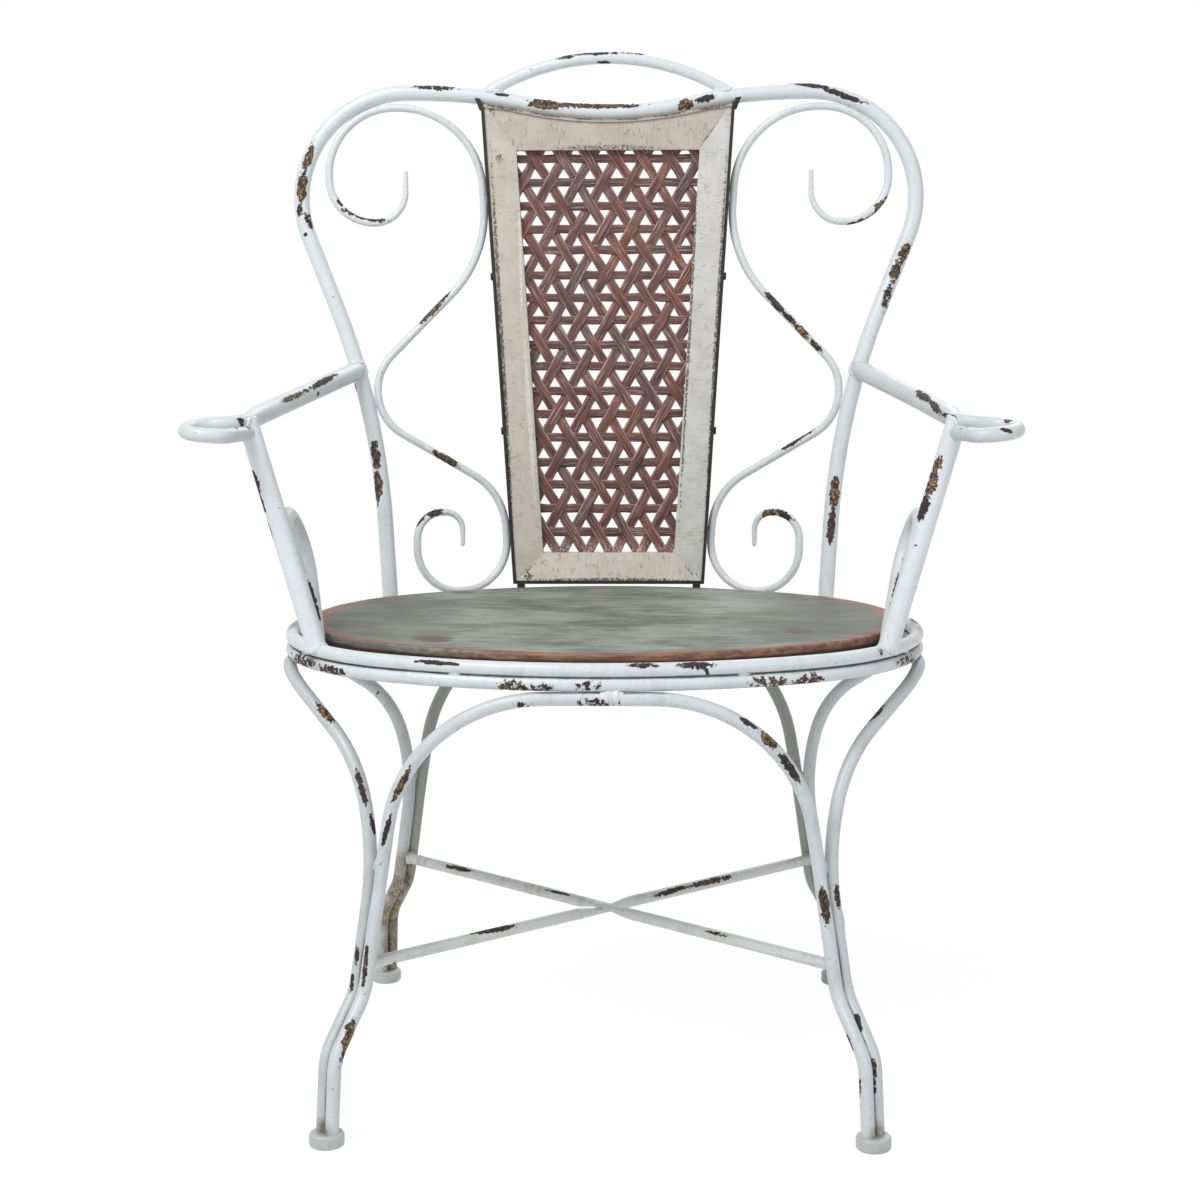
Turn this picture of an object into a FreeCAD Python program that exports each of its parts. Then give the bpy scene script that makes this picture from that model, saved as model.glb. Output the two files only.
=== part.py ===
import FreeCAD, Part
import math
import os

from FreeCAD import Vector

# Garden armchair of welded round tube with a painted oval seat board and a wood-framed cane splat
# Frame: origin on the floor midway between the feet, +X to the right seen from the front, +Y to the
# back, +Z up, millimetres

# Stock
RING_TUBE = 12.7
LEG_TUBE = 12.7
HOOP_TUBE = 16.0
CREST_TUBE = 12.7
ARM_TUBE = 19.0
ARM_LOOP_TUBE = 13.5
SCROLL_BAR = 8.0
SCROLL_TIP = 4.5
STRETCHER_BAR = 11.0

# Clearances
WELD_GAP = 0.2
LAY_GAP = 0.3
SLIP = 0.3

# Seat
SEAT_HALF_WIDTH = 301.0
SEAT_HALF_DEPTH = 208.0
SEAT_END_RADIUS = 180.0
SEAT_RING_HEIGHT = 431.0
BOARD_END_GAP = 9.5
BOARD_SIDE_GAP = 2.5
BOARD_THICKNESS = 12.0
BOARD_PROUD = 6.5
BOARD_ROUNDING = 2.5
STRAP_WIDTH = 20.0
STRAP_THICKNESS = 4.0
STRAP_OFFSET = 118.0
STRAP_SCREW_Y = 130.0

# Legs, the line midway between the two tubes of a leg
FOOT_X = 246.0
FOOT_Y = 237.0
ANKLE_LOW = Vector(242.5, 228.0, 80.0)
ANKLE_HIGH = Vector(219.5, 188.0, 128.0)
KNEE = Vector(202.0, 176.0, 250.0)
ANKLE_RADIUS = 40.0
KNEE_RADIUS = 220.0
FRONT_ARCH_CORNER_X = 170.0
FRONT_ARCH_RADIUS = 145.0
SIDE_ARCH_RUN = 62.0
SIDE_ARCH_HIP = Vector(223.0, 143.0, 335.0)
SIDE_ARCH_TOP_RADIUS = 75.0
SIDE_ARCH_HIP_RADIUS = 130.0
PAIR_GAP = 0.5
CAP_DIAMETER = 32.0
CAP_HEIGHT = 13.0
CAP_FLOOR = 5.0
CAP_ROUNDING = 3.0
STRETCHER_HEIGHT = 153.0
STRETCHER_SHORT = 4.5
FLAT_THICKNESS = 4.0
FLAT_HALF_LENGTH = 10.0
FLAT_RAMP = 28.0

# Back hoop
BACK_LEAN = 9.0
HOOP_FOOT_HALF = 223.6
HOOP_WAIST_HALF = 236.8
HOOP_WAIST_Z = 628.0
HOOP_SHOULDER_HALF = 367.0
HOOP_TOP_Z = 953.0
HOOP_DIP_START_HALF = 140.0
HOOP_DIP = 28.0
HOOP_WAIST_RADIUS = 740.0
HOOP_SHOULDER_RADIUS = 108.0
HOOP_BROW_RADIUS = 600.0
HOOP_DIP_RADIUS = 400.0
CREST_HALF = 124.0
CREST_RISE = 35.0

# Splat
SPLAT_FOOT_HALF = 100.0
SPLAT_TOP_HALF = 129.5
SPLAT_SET_FORWARD = 3.0
SPLAT_FOOT_GAP = 2.0
STRIP_THICKNESS = 3.0
STRIP_DEPTH = 22.0
WOOD_DEPTH = 18.0
STILE_WIDTH = 30.0
RAIL_WIDTH = 29.0
HEAD_HEIGHT = 27.5
PANEL_THICKNESS = 2.6
PANEL_TONGUE = 6.0
WEAVE_PITCH = 24.2
WEAVE_STRAND = 9.7
WEAVE_TOP_MARGIN = 9.0
SPLAT_SCREWS = 2
TAB_WIDTH = 8.0
TAB_DEPTH = 10.0
TAB_HEIGHT = 10.0

# Back scrolls, heights as shares of the way from the seat ring to the top of the hoop
SCROLL_NECK = 0.404
SCROLL_NECK_HALF = 25.5
SCROLL_BELLY = 0.674
SCROLL_HIP = 0.203
SCROLL_TOP_DROP = 19.0
SCROLL_SHOULDER_INSET = 79.0
SCROLL_CURL_WIDTH = 79.0
SCROLL_CURL_HEIGHT = 117.0
SCROLL_CURL_TIP = 51.0
SCROLL_EYE_WIDTH = 93.5
SCROLL_EYE_INNER = 45.6
SCROLL_EYE_HEIGHT = 82.0
SCROLL_EYE_TIP = 34.0
SCROLL_RADII = [32.0, 46.0, 67.0, 87.0, 120.0, 50.0, 50.0, 70.0, 49.0, 44.0, 28.0, 19.0]
SCROLL_TIP_EDGES = 2

# Screws
SCREW_SHANK = 4.0
SCREW_HEAD = 8.0
SCREW_HEAD_HEIGHT = 2.4
SCREW_BITE = 8.0
SCREW_CLEARANCE = 0.4

# Arms
ARM_HOOP_Z = 671.0
ARM_BEND_OUT = 2.0
ARM_BEND_Y = 55.0
ARM_BEND_Z = 651.5
ARM_BEND_RADIUS = 260.0
ARM_REST_OUT = 24.0
ARM_REST_Y = -97.0
ARM_REST_Z = 643.0
ARM_LOOP_START = 15.0
ARM_LOOP_REACH = 46.5
ARM_LOOP_DEPTH = 48.0
ARM_LOOP_RETURN = 37.5
ARM_LOOP_DROP = 11.5
ARM_LOOP_RADIUS = 21.0
ARM_LOOP_RETURN_RADIUS = 16.0
ARM_SWAGE = 24.0
ARM_FOOT_INSET = 38.0
ARM_SCROLL_BAR = 16.0
ARM_SCROLL_RADIUS = 32.0
ARM_SCROLL_HEIGHT = 95.0
ARM_SCROLL_BELLY = 17.0
ARM_SCROLL_SWEEP = 40.0
ARM_SCROLL_DROP = 25.0
ARM_SCROLL_START = Vector(13.0, 10.0)

EPSILON = 0.01
BEYOND = 60.0
SETTLE_STEPS = 12

os.makedirs("parts", exist_ok=True)


# Paths and tubes

def unit(vector):
    return vector * (1.0 / vector.Length)


def mirrored_x(point):
    return Vector(-point.x, point.y, point.z)


def mirrored_y(point):
    return Vector(point.x, -point.y, point.z)


def corner_turn(before, corner, after):
    return unit(corner - before).getAngle(unit(after - corner))


def tangent_lengths(points, radii):
    """Length taken from each run by the bend at each inner point, limited by the run's own length."""
    count = len(points)
    wanted = [0.0] * count
    for i in range(1, count - 1):
        wanted[i] = radii[i - 1] * math.tan(corner_turn(points[i - 1], points[i], points[i + 1]) / 2)
    share = [1.0] * count
    for i in range(count - 1):
        run = (points[i + 1] - points[i]).Length - EPSILON
        need = wanted[i] + wanted[i + 1]
        if need > run:
            share[i] = min(share[i], run / need)
            share[i + 1] = min(share[i + 1], run / need)
    return [w * s for w, s in zip(wanted, share)]


def rounded_path(points, radii):
    """Straight runs joined by tangent arcs, one arc at each inner point."""
    taken = tangent_lengths(points, radii)
    edges = []
    start = points[0]
    for i in range(1, len(points) - 1):
        back = unit(points[i - 1] - points[i])
        ahead = unit(points[i + 1] - points[i])
        arc_start = points[i] + back * taken[i]
        arc_end = points[i] + ahead * taken[i]
        half_turn = corner_turn(points[i - 1], points[i], points[i + 1]) / 2
        radius = taken[i] / math.tan(half_turn)
        centre = points[i] + unit(back + ahead) * (radius / math.cos(half_turn))
        middle = centre + unit(points[i] - centre) * radius
        if (arc_start - start).Length > EPSILON / 2:
            edges.append(Part.makeLine(start, arc_start))
        edges.append(Part.Arc(arc_start, middle, arc_end).toShape())
        start = arc_end
    edges.append(Part.makeLine(start, points[-1]))
    return edges


def round_section(edge, at_end, diameter):
    parameter = edge.LastParameter if at_end else edge.FirstParameter
    direction = edge.tangentAt(parameter)
    circle = Part.Circle(edge.valueAt(parameter), direction, diameter / 2)
    return Part.Wire([circle.toShape()])


def swept(edges, diameter, end_diameter=None):
    spine = Part.Wire(edges)
    sections = [round_section(edges[0], False, diameter)]
    if end_diameter is not None:
        sections.append(round_section(edges[-1], True, end_diameter))
    return spine.makePipeShell(sections, True, False)


def tube(points, radii, diameter):
    return swept(rounded_path(points, radii), diameter)


def rounded_tip(point, diameter):
    return Part.makeSphere(diameter / 2, point)


def drawn_bar(edges, first, last, bar, tip):
    """A bar with its first and last few edges drawn down to rounded tips."""
    body = swept(edges[first:len(edges) - last], bar)
    body = body.fuse(swept(edges[:first], tip, bar))
    body = body.fuse(rounded_tip(edges[0].valueAt(edges[0].FirstParameter), tip))
    body = body.fuse(swept(edges[len(edges) - last:], bar, tip))
    return body.fuse(rounded_tip(edges[-1].valueAt(edges[-1].LastParameter), tip))


def settled(value, path_at, other, wanted, sign):
    """The value at which the path it gives stands the wanted distance from another path."""
    for _ in range(SETTLE_STEPS):
        value += sign * (path_at(value).distToShape(other)[0] - wanted)
    return value


def prism(outline, low, high):
    """A flat outline of Vectors in X and Y, or a Wire, raised from low to high along Z."""
    wire = outline if isinstance(outline, Part.Wire) else Part.makePolygon(outline + [outline[0]])
    face = Part.Face(wire)
    face.translate(Vector(0, 0, low))
    return face.extrude(Vector(0, 0, high - low))


def mirror_side(shape):
    return shape.mirror(Vector(0, 0, 0), Vector(1, 0, 0))


def mirror_depth(shape):
    return shape.mirror(Vector(0, 0, 0), Vector(0, 1, 0))


def save(name, shape, solids=1):
    found = shape.Solids
    if not shape.isValid() or len(found) != solids:
        raise ValueError(f"{name}: valid {shape.isValid()}, {len(found)} solids for {solids}")
    out = found[0] if solids == 1 else Part.makeCompound(found)
    out.exportStep(f"parts/{name}.step")
    box = shape.BoundBox
    print(f"{name:24s} {shape.Volume:10.0f} mm3  x {box.XMin:7.1f} {box.XMax:7.1f}"
          f"  y {box.YMin:7.1f} {box.YMax:7.1f}  z {box.ZMin:7.1f} {box.ZMax:7.1f}")


# Seat rings, four tangent arcs each

def oval_side_radius(half_width, half_depth, end_radius):
    offset = half_width - end_radius
    return (offset ** 2 + half_depth ** 2 - end_radius ** 2) / (2 * (half_depth - end_radius))


def oval_edges(half_width, half_depth, end_radius, height):
    offset = half_width - end_radius
    side_radius = oval_side_radius(half_width, half_depth, end_radius)
    sink = side_radius - half_depth
    reach = math.hypot(offset, sink)
    joint = Vector(side_radius * offset / reach, side_radius * sink / reach - sink, height)
    end = Vector(half_width, 0, height)
    side = Vector(0, half_depth, height)
    right_end = Part.Arc(mirrored_y(joint), end, joint).toShape()
    back_side = Part.Arc(joint, side, mirrored_x(joint)).toShape()
    left_end = Part.Arc(mirrored_x(joint), mirrored_x(end), mirrored_y(mirrored_x(joint))).toShape()
    front_side = Part.Arc(mirrored_y(mirrored_x(joint)), mirrored_y(side), mirrored_y(joint)).toShape()
    return [right_end, back_side, left_end, front_side]


def ring_depth_at(x):
    """Distance of the seat ring's middle line from the X axis at a given x."""
    offset = SEAT_HALF_WIDTH - SEAT_END_RADIUS
    side_radius = oval_side_radius(SEAT_HALF_WIDTH, SEAT_HALF_DEPTH, SEAT_END_RADIUS)
    sink = side_radius - SEAT_HALF_DEPTH
    joint_x = side_radius * offset / math.hypot(offset, sink)
    if abs(x) < joint_x:
        return math.sqrt(side_radius ** 2 - x ** 2) - sink
    return math.sqrt(SEAT_END_RADIUS ** 2 - (abs(x) - offset) ** 2)


RING_OUTLINE = (SEAT_HALF_WIDTH, SEAT_HALF_DEPTH, SEAT_END_RADIUS)
LOWER_RING_HEIGHT = SEAT_RING_HEIGHT - RING_TUBE - LAY_GAP
ARCH_TOP = LOWER_RING_HEIGHT - RING_TUBE / 2 - LAY_GAP - LEG_TUBE / 2

ring_edges = oval_edges(*RING_OUTLINE, SEAT_RING_HEIGHT)
upper_ring = swept(ring_edges, RING_TUBE)
upper_ring_room = swept(ring_edges, RING_TUBE + 2 * WELD_GAP)
lower_ring = swept(oval_edges(*RING_OUTLINE, LOWER_RING_HEIGHT), RING_TUBE)
save("seat_ring_upper", upper_ring)
save("seat_ring_lower", lower_ring)


# Seat board on two flat straps, screwed from below

BOARD_TOP = SEAT_RING_HEIGHT + RING_TUBE / 2 + BOARD_PROUD
BOARD_UNDERSIDE = BOARD_TOP - BOARD_THICKNESS
BOARD_END_INSET = RING_TUBE / 2 + BOARD_END_GAP
BOARD_SIDE_INSET = RING_TUBE / 2 + BOARD_SIDE_GAP

board_wire = Part.Wire(oval_edges(SEAT_HALF_WIDTH - BOARD_END_INSET, SEAT_HALF_DEPTH - BOARD_SIDE_INSET,
                                  SEAT_END_RADIUS - BOARD_END_INSET, 0.0))
seat_board = prism(board_wire, BOARD_UNDERSIDE, BOARD_TOP)
board_rim = [e for e in seat_board.Edges if min(v.Z for v in e.Vertexes) > BOARD_TOP - EPSILON]
seat_board = seat_board.makeFillet(BOARD_ROUNDING, board_rim)


def screw_up(x, y, bearing, bite):
    """A pan-head screw that stands under a bearing face and bites upward."""
    head = Part.makeCylinder(SCREW_HEAD / 2, SCREW_HEAD_HEIGHT, Vector(x, y, bearing - SCREW_HEAD_HEIGHT))
    head = head.makeFillet(SCREW_HEAD_HEIGHT / 3, [head.Edges[2]])
    return head.fuse(Part.makeCylinder(SCREW_SHANK / 2, bite, Vector(x, y, bearing)))


STRAP_TOP = BOARD_UNDERSIDE
STRAP_UNDERSIDE = STRAP_TOP - STRAP_THICKNESS
strap_reach = ring_depth_at(STRAP_OFFSET)
hole_size = (SCREW_SHANK + SCREW_CLEARANCE) / 2
strap_screws = []
for side, label in ((-1, "left"), (1, "right")):
    x = side * STRAP_OFFSET
    strap = Part.makeBox(STRAP_WIDTH, 2 * strap_reach, STRAP_THICKNESS,
                         Vector(x - STRAP_WIDTH / 2, -strap_reach, STRAP_UNDERSIDE))
    strap = strap.cut(upper_ring_room)
    for y in (-STRAP_SCREW_Y, STRAP_SCREW_Y):
        hole_depth = STRAP_THICKNESS + SCREW_BITE + SLIP
        hole = Part.makeCylinder(hole_size, hole_depth, Vector(x, y, STRAP_UNDERSIDE))
        strap = strap.cut(hole)
        seat_board = seat_board.cut(hole)
        strap_screws.append(screw_up(x, y, STRAP_UNDERSIDE, STRAP_THICKNESS + SCREW_BITE))
    save(f"board_strap_{label}", strap)
save("strap_screws", Part.makeCompound(strap_screws), solids=len(strap_screws))
save("seat_board", seat_board)


# Legs: four bent arches, two parallel tubes to each foot

PAIR_OFFSET = (LEG_TUBE + PAIR_GAP) / 2 / math.sqrt(2)
FOOT = Vector(FOOT_X, FOOT_Y, 0.0)
FOOT_END = FOOT + (ANKLE_LOW - FOOT) * (CAP_FLOOR / ANKLE_LOW.z)
CROSS_ARCH_SHIFT = Vector(-PAIR_OFFSET, PAIR_OFFSET, 0.0)
SIDE_ARCH_SHIFT = Vector(PAIR_OFFSET, -PAIR_OFFSET, 0.0)
LEG_LINE = [KNEE, ANKLE_HIGH, ANKLE_LOW, FOOT_END]
LEG_RADII = [KNEE_RADIUS, ANKLE_RADIUS, ANKLE_RADIUS]


def arch_path(half_points, half_radii, mirrored_point):
    """The whole arch from one half, which runs from the crown down to a foot."""
    points = [mirrored_point(p) for p in reversed(half_points)] + half_points
    return points, list(reversed(half_radii)) + half_radii


back_half = [Vector(FRONT_ARCH_CORNER_X, SEAT_HALF_DEPTH, ARCH_TOP)]
back_half += [p + CROSS_ARCH_SHIFT for p in LEG_LINE]
right_half = [Vector(SEAT_HALF_WIDTH, SIDE_ARCH_RUN, ARCH_TOP), SIDE_ARCH_HIP]
right_half += [p + SIDE_ARCH_SHIFT for p in LEG_LINE]

back_arch_path = arch_path(back_half, [FRONT_ARCH_RADIUS] + LEG_RADII, mirrored_x)
right_arch_path = arch_path(right_half, [SIDE_ARCH_TOP_RADIUS, SIDE_ARCH_HIP_RADIUS] + LEG_RADII, mirrored_y)
back_arch = tube(*back_arch_path, LEG_TUBE)
right_arch = tube(*right_arch_path, LEG_TUBE)
back_arch_room = tube(*back_arch_path, LEG_TUBE + 2 * WELD_GAP)
right_arch_room = tube(*right_arch_path, LEG_TUBE + 2 * WELD_GAP)
save("arch_back", back_arch)
save("arch_front", mirror_depth(back_arch))
save("arch_right", right_arch)
save("arch_left", mirror_side(right_arch))

cap = Part.makeCylinder(CAP_DIAMETER / 2, CAP_HEIGHT, FOOT)
cap = cap.makeFillet(CAP_ROUNDING, [cap.Edges[0], cap.Edges[2]])
cap = cap.cut(back_arch_room).cut(right_arch_room)
for name, shape in (("foot_cap_back_right", cap),
                    ("foot_cap_back_left", mirror_side(cap)),
                    ("foot_cap_front_right", mirror_depth(cap)),
                    ("foot_cap_front_left", mirror_side(mirror_depth(cap)))):
    save(name, shape)


# Two stretchers between opposite legs, hammered flat and welded where they cross

def line_point(start, end, height):
    return start + (end - start) * ((start.z - height) / (start.z - end.z))


leg_rooms = [back_arch_room, right_arch_room, mirror_depth(back_arch_room), mirror_side(right_arch_room)]
stretcher_end = line_point(KNEE, ANKLE_HIGH, STRETCHER_HEIGHT)
stretcher_half = math.hypot(stretcher_end.x, stretcher_end.y) - STRETCHER_SHORT
stretcher_angle = math.degrees(math.atan2(stretcher_end.y, stretcher_end.x))


def stretcher(angle, up):
    """A round bar through the middle, flat on the side that faces the other bar."""
    edge = STRETCHER_BAR / 2 + EPSILON
    ramp = FLAT_HALF_LENGTH + FLAT_RAMP
    profile = [(-stretcher_half, -edge), (-ramp, -edge), (-FLAT_HALF_LENGTH, 0), (FLAT_HALF_LENGTH, 0),
               (ramp, -edge), (stretcher_half, -edge), (stretcher_half, edge), (ramp, edge),
               (FLAT_HALF_LENGTH, FLAT_THICKNESS), (-FLAT_HALF_LENGTH, FLAT_THICKNESS), (-ramp, edge),
               (-stretcher_half, edge)]
    slab = Part.Face(Part.makePolygon([Vector(s, -edge, up * z) for s, z in profile + profile[:1]]))
    bar = Part.makeCylinder(STRETCHER_BAR / 2, 2 * stretcher_half,
                            Vector(-stretcher_half, 0, 0), Vector(1, 0, 0))
    bar = bar.common(slab.extrude(Vector(0, 2 * edge, 0)))
    bar.rotate(Vector(0, 0, 0), Vector(0, 0, 1), angle)
    bar.translate(Vector(0, 0, STRETCHER_HEIGHT))
    for room in leg_rooms:
        bar = bar.cut(room)
    return bar


save("stretcher_lower", stretcher(stretcher_angle, -1))
save("stretcher_upper", stretcher(-stretcher_angle, 1))


# Back hoop and crest bar in one leaning plane

LEAN_SLOPE = math.tan(math.radians(BACK_LEAN))
HOOP_FOOT_Y = ring_depth_at(HOOP_FOOT_HALF)


def hoop_y(z):
    return HOOP_FOOT_Y + (z - SEAT_RING_HEIGHT) * LEAN_SLOPE


def on_hoop(x, z):
    return Vector(x, hoop_y(z), z)


hoop_half = [on_hoop(HOOP_DIP_START_HALF, HOOP_TOP_Z), on_hoop(HOOP_SHOULDER_HALF, HOOP_TOP_Z),
             on_hoop(HOOP_WAIST_HALF, HOOP_WAIST_Z), on_hoop(HOOP_FOOT_HALF, SEAT_RING_HEIGHT)]
hoop_radii = [HOOP_BROW_RADIUS, HOOP_SHOULDER_RADIUS, HOOP_WAIST_RADIUS]
hoop_points = [mirrored_x(p) for p in reversed(hoop_half)] + [on_hoop(0, HOOP_TOP_Z - HOOP_DIP)] + hoop_half
hoop_edges = rounded_path(hoop_points, list(reversed(hoop_radii)) + [HOOP_DIP_RADIUS] + hoop_radii)
hoop = swept(hoop_edges, HOOP_TUBE)
hoop_room = swept(hoop_edges, HOOP_TUBE + 2 * WELD_GAP)
back_hoop = hoop.cut(upper_ring_room)
save("back_hoop", back_hoop)

crest_foot_z = HOOP_TOP_Z
crest_arc = Part.Arc(on_hoop(-CREST_HALF, crest_foot_z), on_hoop(0, crest_foot_z + CREST_RISE),
                     on_hoop(CREST_HALF, crest_foot_z)).toShape()
save("crest_bar", swept([crest_arc], CREST_TUBE).cut(hoop_room))


# Splat: iron strips round a mitred wood frame that holds the cane panel
# Local frame: U to the right, V up the splat, W out of its front face, from the middle of its foot

SPLAT_FOOT_Z = BOARD_TOP + SPLAT_FOOT_GAP
SPLAT_FOOT_Y = SEAT_HALF_DEPTH - SPLAT_SET_FORWARD
HOOP_DIP_Z = HOOP_TOP_Z - HOOP_DIP
SPLAT_SLOPE = (hoop_y(HOOP_DIP_Z) - SPLAT_FOOT_Y) / (HOOP_DIP_Z - SPLAT_FOOT_Z)
SPLAT_TILT = math.degrees(math.atan(SPLAT_SLOPE))
SPLAT_STRETCH = math.hypot(1, SPLAT_SLOPE)
SPLAT_TOP_V = (HOOP_DIP_Z - SPLAT_FOOT_Z) * SPLAT_STRETCH
SPLAT_FLARE = (SPLAT_TOP_HALF - SPLAT_FOOT_HALF) / SPLAT_TOP_V
SPLAT_PLACE = FreeCAD.Placement(Vector(0, SPLAT_FOOT_Y, SPLAT_FOOT_Z),
                                FreeCAD.Rotation(Vector(1, 0, 0), 90 - SPLAT_TILT))
WOOD_INSET = STRIP_THICKNESS + SLIP
OPENING_INSET = WOOD_INSET + STILE_WIDTH
OPENING_FOOT = WOOD_INSET + RAIL_WIDTH
STRIP_DROP = HOOP_TUBE / 2 + LAY_GAP
WOOD_DROP = STRIP_DROP + STRIP_THICKNESS + SLIP


def splat_half(v, inset=0.0):
    return SPLAT_FOOT_HALF + SPLAT_FLARE * v - inset


def splat_v(z):
    return (z - SPLAT_FOOT_Z) * SPLAT_STRETCH


def placed(shape):
    out = shape.copy()
    out.Placement = SPLAT_PLACE.multiply(out.Placement)
    return out


def trapezoid(low, high, inset):
    return [Vector(-splat_half(low, inset), low), Vector(splat_half(low, inset), low),
            Vector(splat_half(high, inset), high), Vector(-splat_half(high, inset), high)]


def under_hoop(drop, depth):
    """A slab that ends a given distance below the hoop's middle line."""
    half = HOOP_SHOULDER_HALF
    line = [Vector(-half, splat_v(HOOP_TOP_Z)), Vector(-HOOP_DIP_START_HALF, splat_v(HOOP_TOP_Z)),
            Vector(0, splat_v(HOOP_DIP_Z)), Vector(HOOP_DIP_START_HALF, splat_v(HOOP_TOP_Z)),
            Vector(half, splat_v(HOOP_TOP_Z))]
    normals = []
    for start, end in zip(line, line[1:]):
        run = unit(end - start)
        normals.append(Vector(run.y, -run.x))
    lowered = [line[0] + normals[0] * drop]
    for i in range(1, len(line) - 1):
        before, after = normals[i - 1], normals[i]
        lowered.append(line[i] + (before + after) * (drop / (1 + before.dot(after))))
    lowered.append(line[-1] + normals[-1] * drop)
    edges = rounded_path(lowered, [HOOP_BROW_RADIUS - drop, HOOP_DIP_RADIUS + drop, HOOP_BROW_RADIUS - drop])
    base = -BEYOND
    right, left = Vector(half, base), Vector(-half, base)
    edges += [Part.makeLine(lowered[-1], right), Part.makeLine(right, left), Part.makeLine(left, lowered[0])]
    return prism(Part.Wire(edges), -depth / 2, depth / 2)


def splat_blank(inset, drop, depth):
    outline = trapezoid(inset, SPLAT_TOP_V + BEYOND, inset)
    return prism(outline, -depth / 2, depth / 2).common(under_hoop(drop, depth))


band = splat_blank(0.0, STRIP_DROP, STRIP_DEPTH)
band = band.cut(splat_blank(STRIP_THICKNESS, STRIP_DROP + STRIP_THICKNESS, STRIP_DEPTH))
inside = prism(trapezoid(-EPSILON, SPLAT_TOP_V + BEYOND, STRIP_THICKNESS), -STRIP_DEPTH, STRIP_DEPTH)
side_strips = band.cut(inside)
end_strips = band.common(inside)


def solids_by_place(shape, axis):
    return sorted(shape.Solids, key=lambda solid: getattr(solid.CenterOfMass, axis))


strip_left, strip_right = solids_by_place(side_strips, "x")
strip_bottom, strip_top = solids_by_place(end_strips, "y")

dip_turn = math.atan(HOOP_DIP / HOOP_DIP_START_HALF)
dip_rounding = HOOP_DIP_RADIUS * (1 / math.cos(dip_turn) - 1)
opening_top = SPLAT_TOP_V - WOOD_DROP - HEAD_HEIGHT + dip_rounding
groove_inset = OPENING_INSET - PANEL_TONGUE
opening = prism(trapezoid(OPENING_FOOT, opening_top, OPENING_INSET), -WOOD_DEPTH, WOOD_DEPTH)
groove_half = PANEL_THICKNESS / 2 + SLIP
groove = prism(trapezoid(OPENING_FOOT - PANEL_TONGUE - SLIP, opening_top + PANEL_TONGUE + SLIP,
                         groove_inset - SLIP), -groove_half, groove_half)
wood = splat_blank(WOOD_INSET, WOOD_DROP, WOOD_DEPTH).cut(opening).cut(groove)

inner_low = Vector(splat_half(OPENING_FOOT, OPENING_INSET), OPENING_FOOT)
inner_high = Vector(splat_half(opening_top, OPENING_INSET), opening_top)
outer_low = Vector(splat_half(WOOD_INSET, WOOD_INSET), WOOD_INSET)
head_corner = splat_v(HOOP_TOP_Z) - WOOD_DROP
outer_high = Vector(splat_half(head_corner, WOOD_INSET), head_corner)
mitre_low = inner_low + (outer_low - inner_low) * 2
mitre_high = inner_high + (outer_high - inner_high) * 2
head_region = prism([mirrored_x(inner_high), inner_high, mitre_high, mirrored_x(mitre_high)],
                    -WOOD_DEPTH, WOOD_DEPTH)
foot_region = prism([mirrored_x(mitre_low), mitre_low, inner_low, mirrored_x(inner_low)],
                    -WOOD_DEPTH, WOOD_DEPTH)
rail_top = wood.common(head_region)
rail_bottom = wood.common(foot_region)
stile_left, stile_right = solids_by_place(wood.cut(head_region).cut(foot_region), "x")

# Cane panel, a thin plate with the triangular gaps of a three-way weave

lattice_side = WEAVE_PITCH * 2 / math.sqrt(3)
gap_share = 1 - WEAVE_STRAND / 2 / (WEAVE_PITCH / 3)
panel_low = OPENING_FOOT - PANEL_TONGUE
panel_high = opening_top + PANEL_TONGUE
panel_outline = trapezoid(panel_low, panel_high, groove_inset)


def triangle_gap(centre, up):
    """One gap between three strands, pointing up or down."""
    reach = WEAVE_PITCH * 2 / 3 * gap_share
    corners = []
    for step in range(3):
        angle = math.radians(90 * up + 120 * step)
        corners.append(centre + Vector(reach * math.cos(angle), reach * math.sin(angle)))
    return corners


def inside_opening(point):
    low = OPENING_FOOT + SLIP
    return low < point.y < opening_top - SLIP and abs(point.x) < splat_half(point.y, OPENING_INSET + SLIP)


gap_wires = []
first_line = opening_top - WEAVE_TOP_MARGIN
columns = int(splat_half(opening_top) / lattice_side) + 2
for row in range(int((first_line - OPENING_FOOT) / WEAVE_PITCH) + 1):
    line = first_line - row * WEAVE_PITCH
    shift = (row % 2) / 2
    for column in range(-columns, columns + 1):
        node_x = (column + shift) * lattice_side
        for up, dx, dy in ((1, 0.0, -WEAVE_PITCH * 2 / 3), (-1, lattice_side / 2, -WEAVE_PITCH / 3)):
            corners = triangle_gap(Vector(node_x + dx, line + dy), up)
            if all(inside_opening(corner) for corner in corners):
                gap_wires.append(Part.makePolygon(corners + corners[:1]))
panel_wires = [Part.makePolygon(panel_outline + panel_outline[:1])] + gap_wires
panel_face = Part.makeFace(panel_wires, "Part::FaceMakerBullseye")
panel_face.translate(Vector(0, 0, -PANEL_THICKNESS / 2))
cane_panel = panel_face.extrude(Vector(0, 0, PANEL_THICKNESS))
print("cane panel gaps", len(gap_wires))

# Screws through the side strips into the stiles

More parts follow.
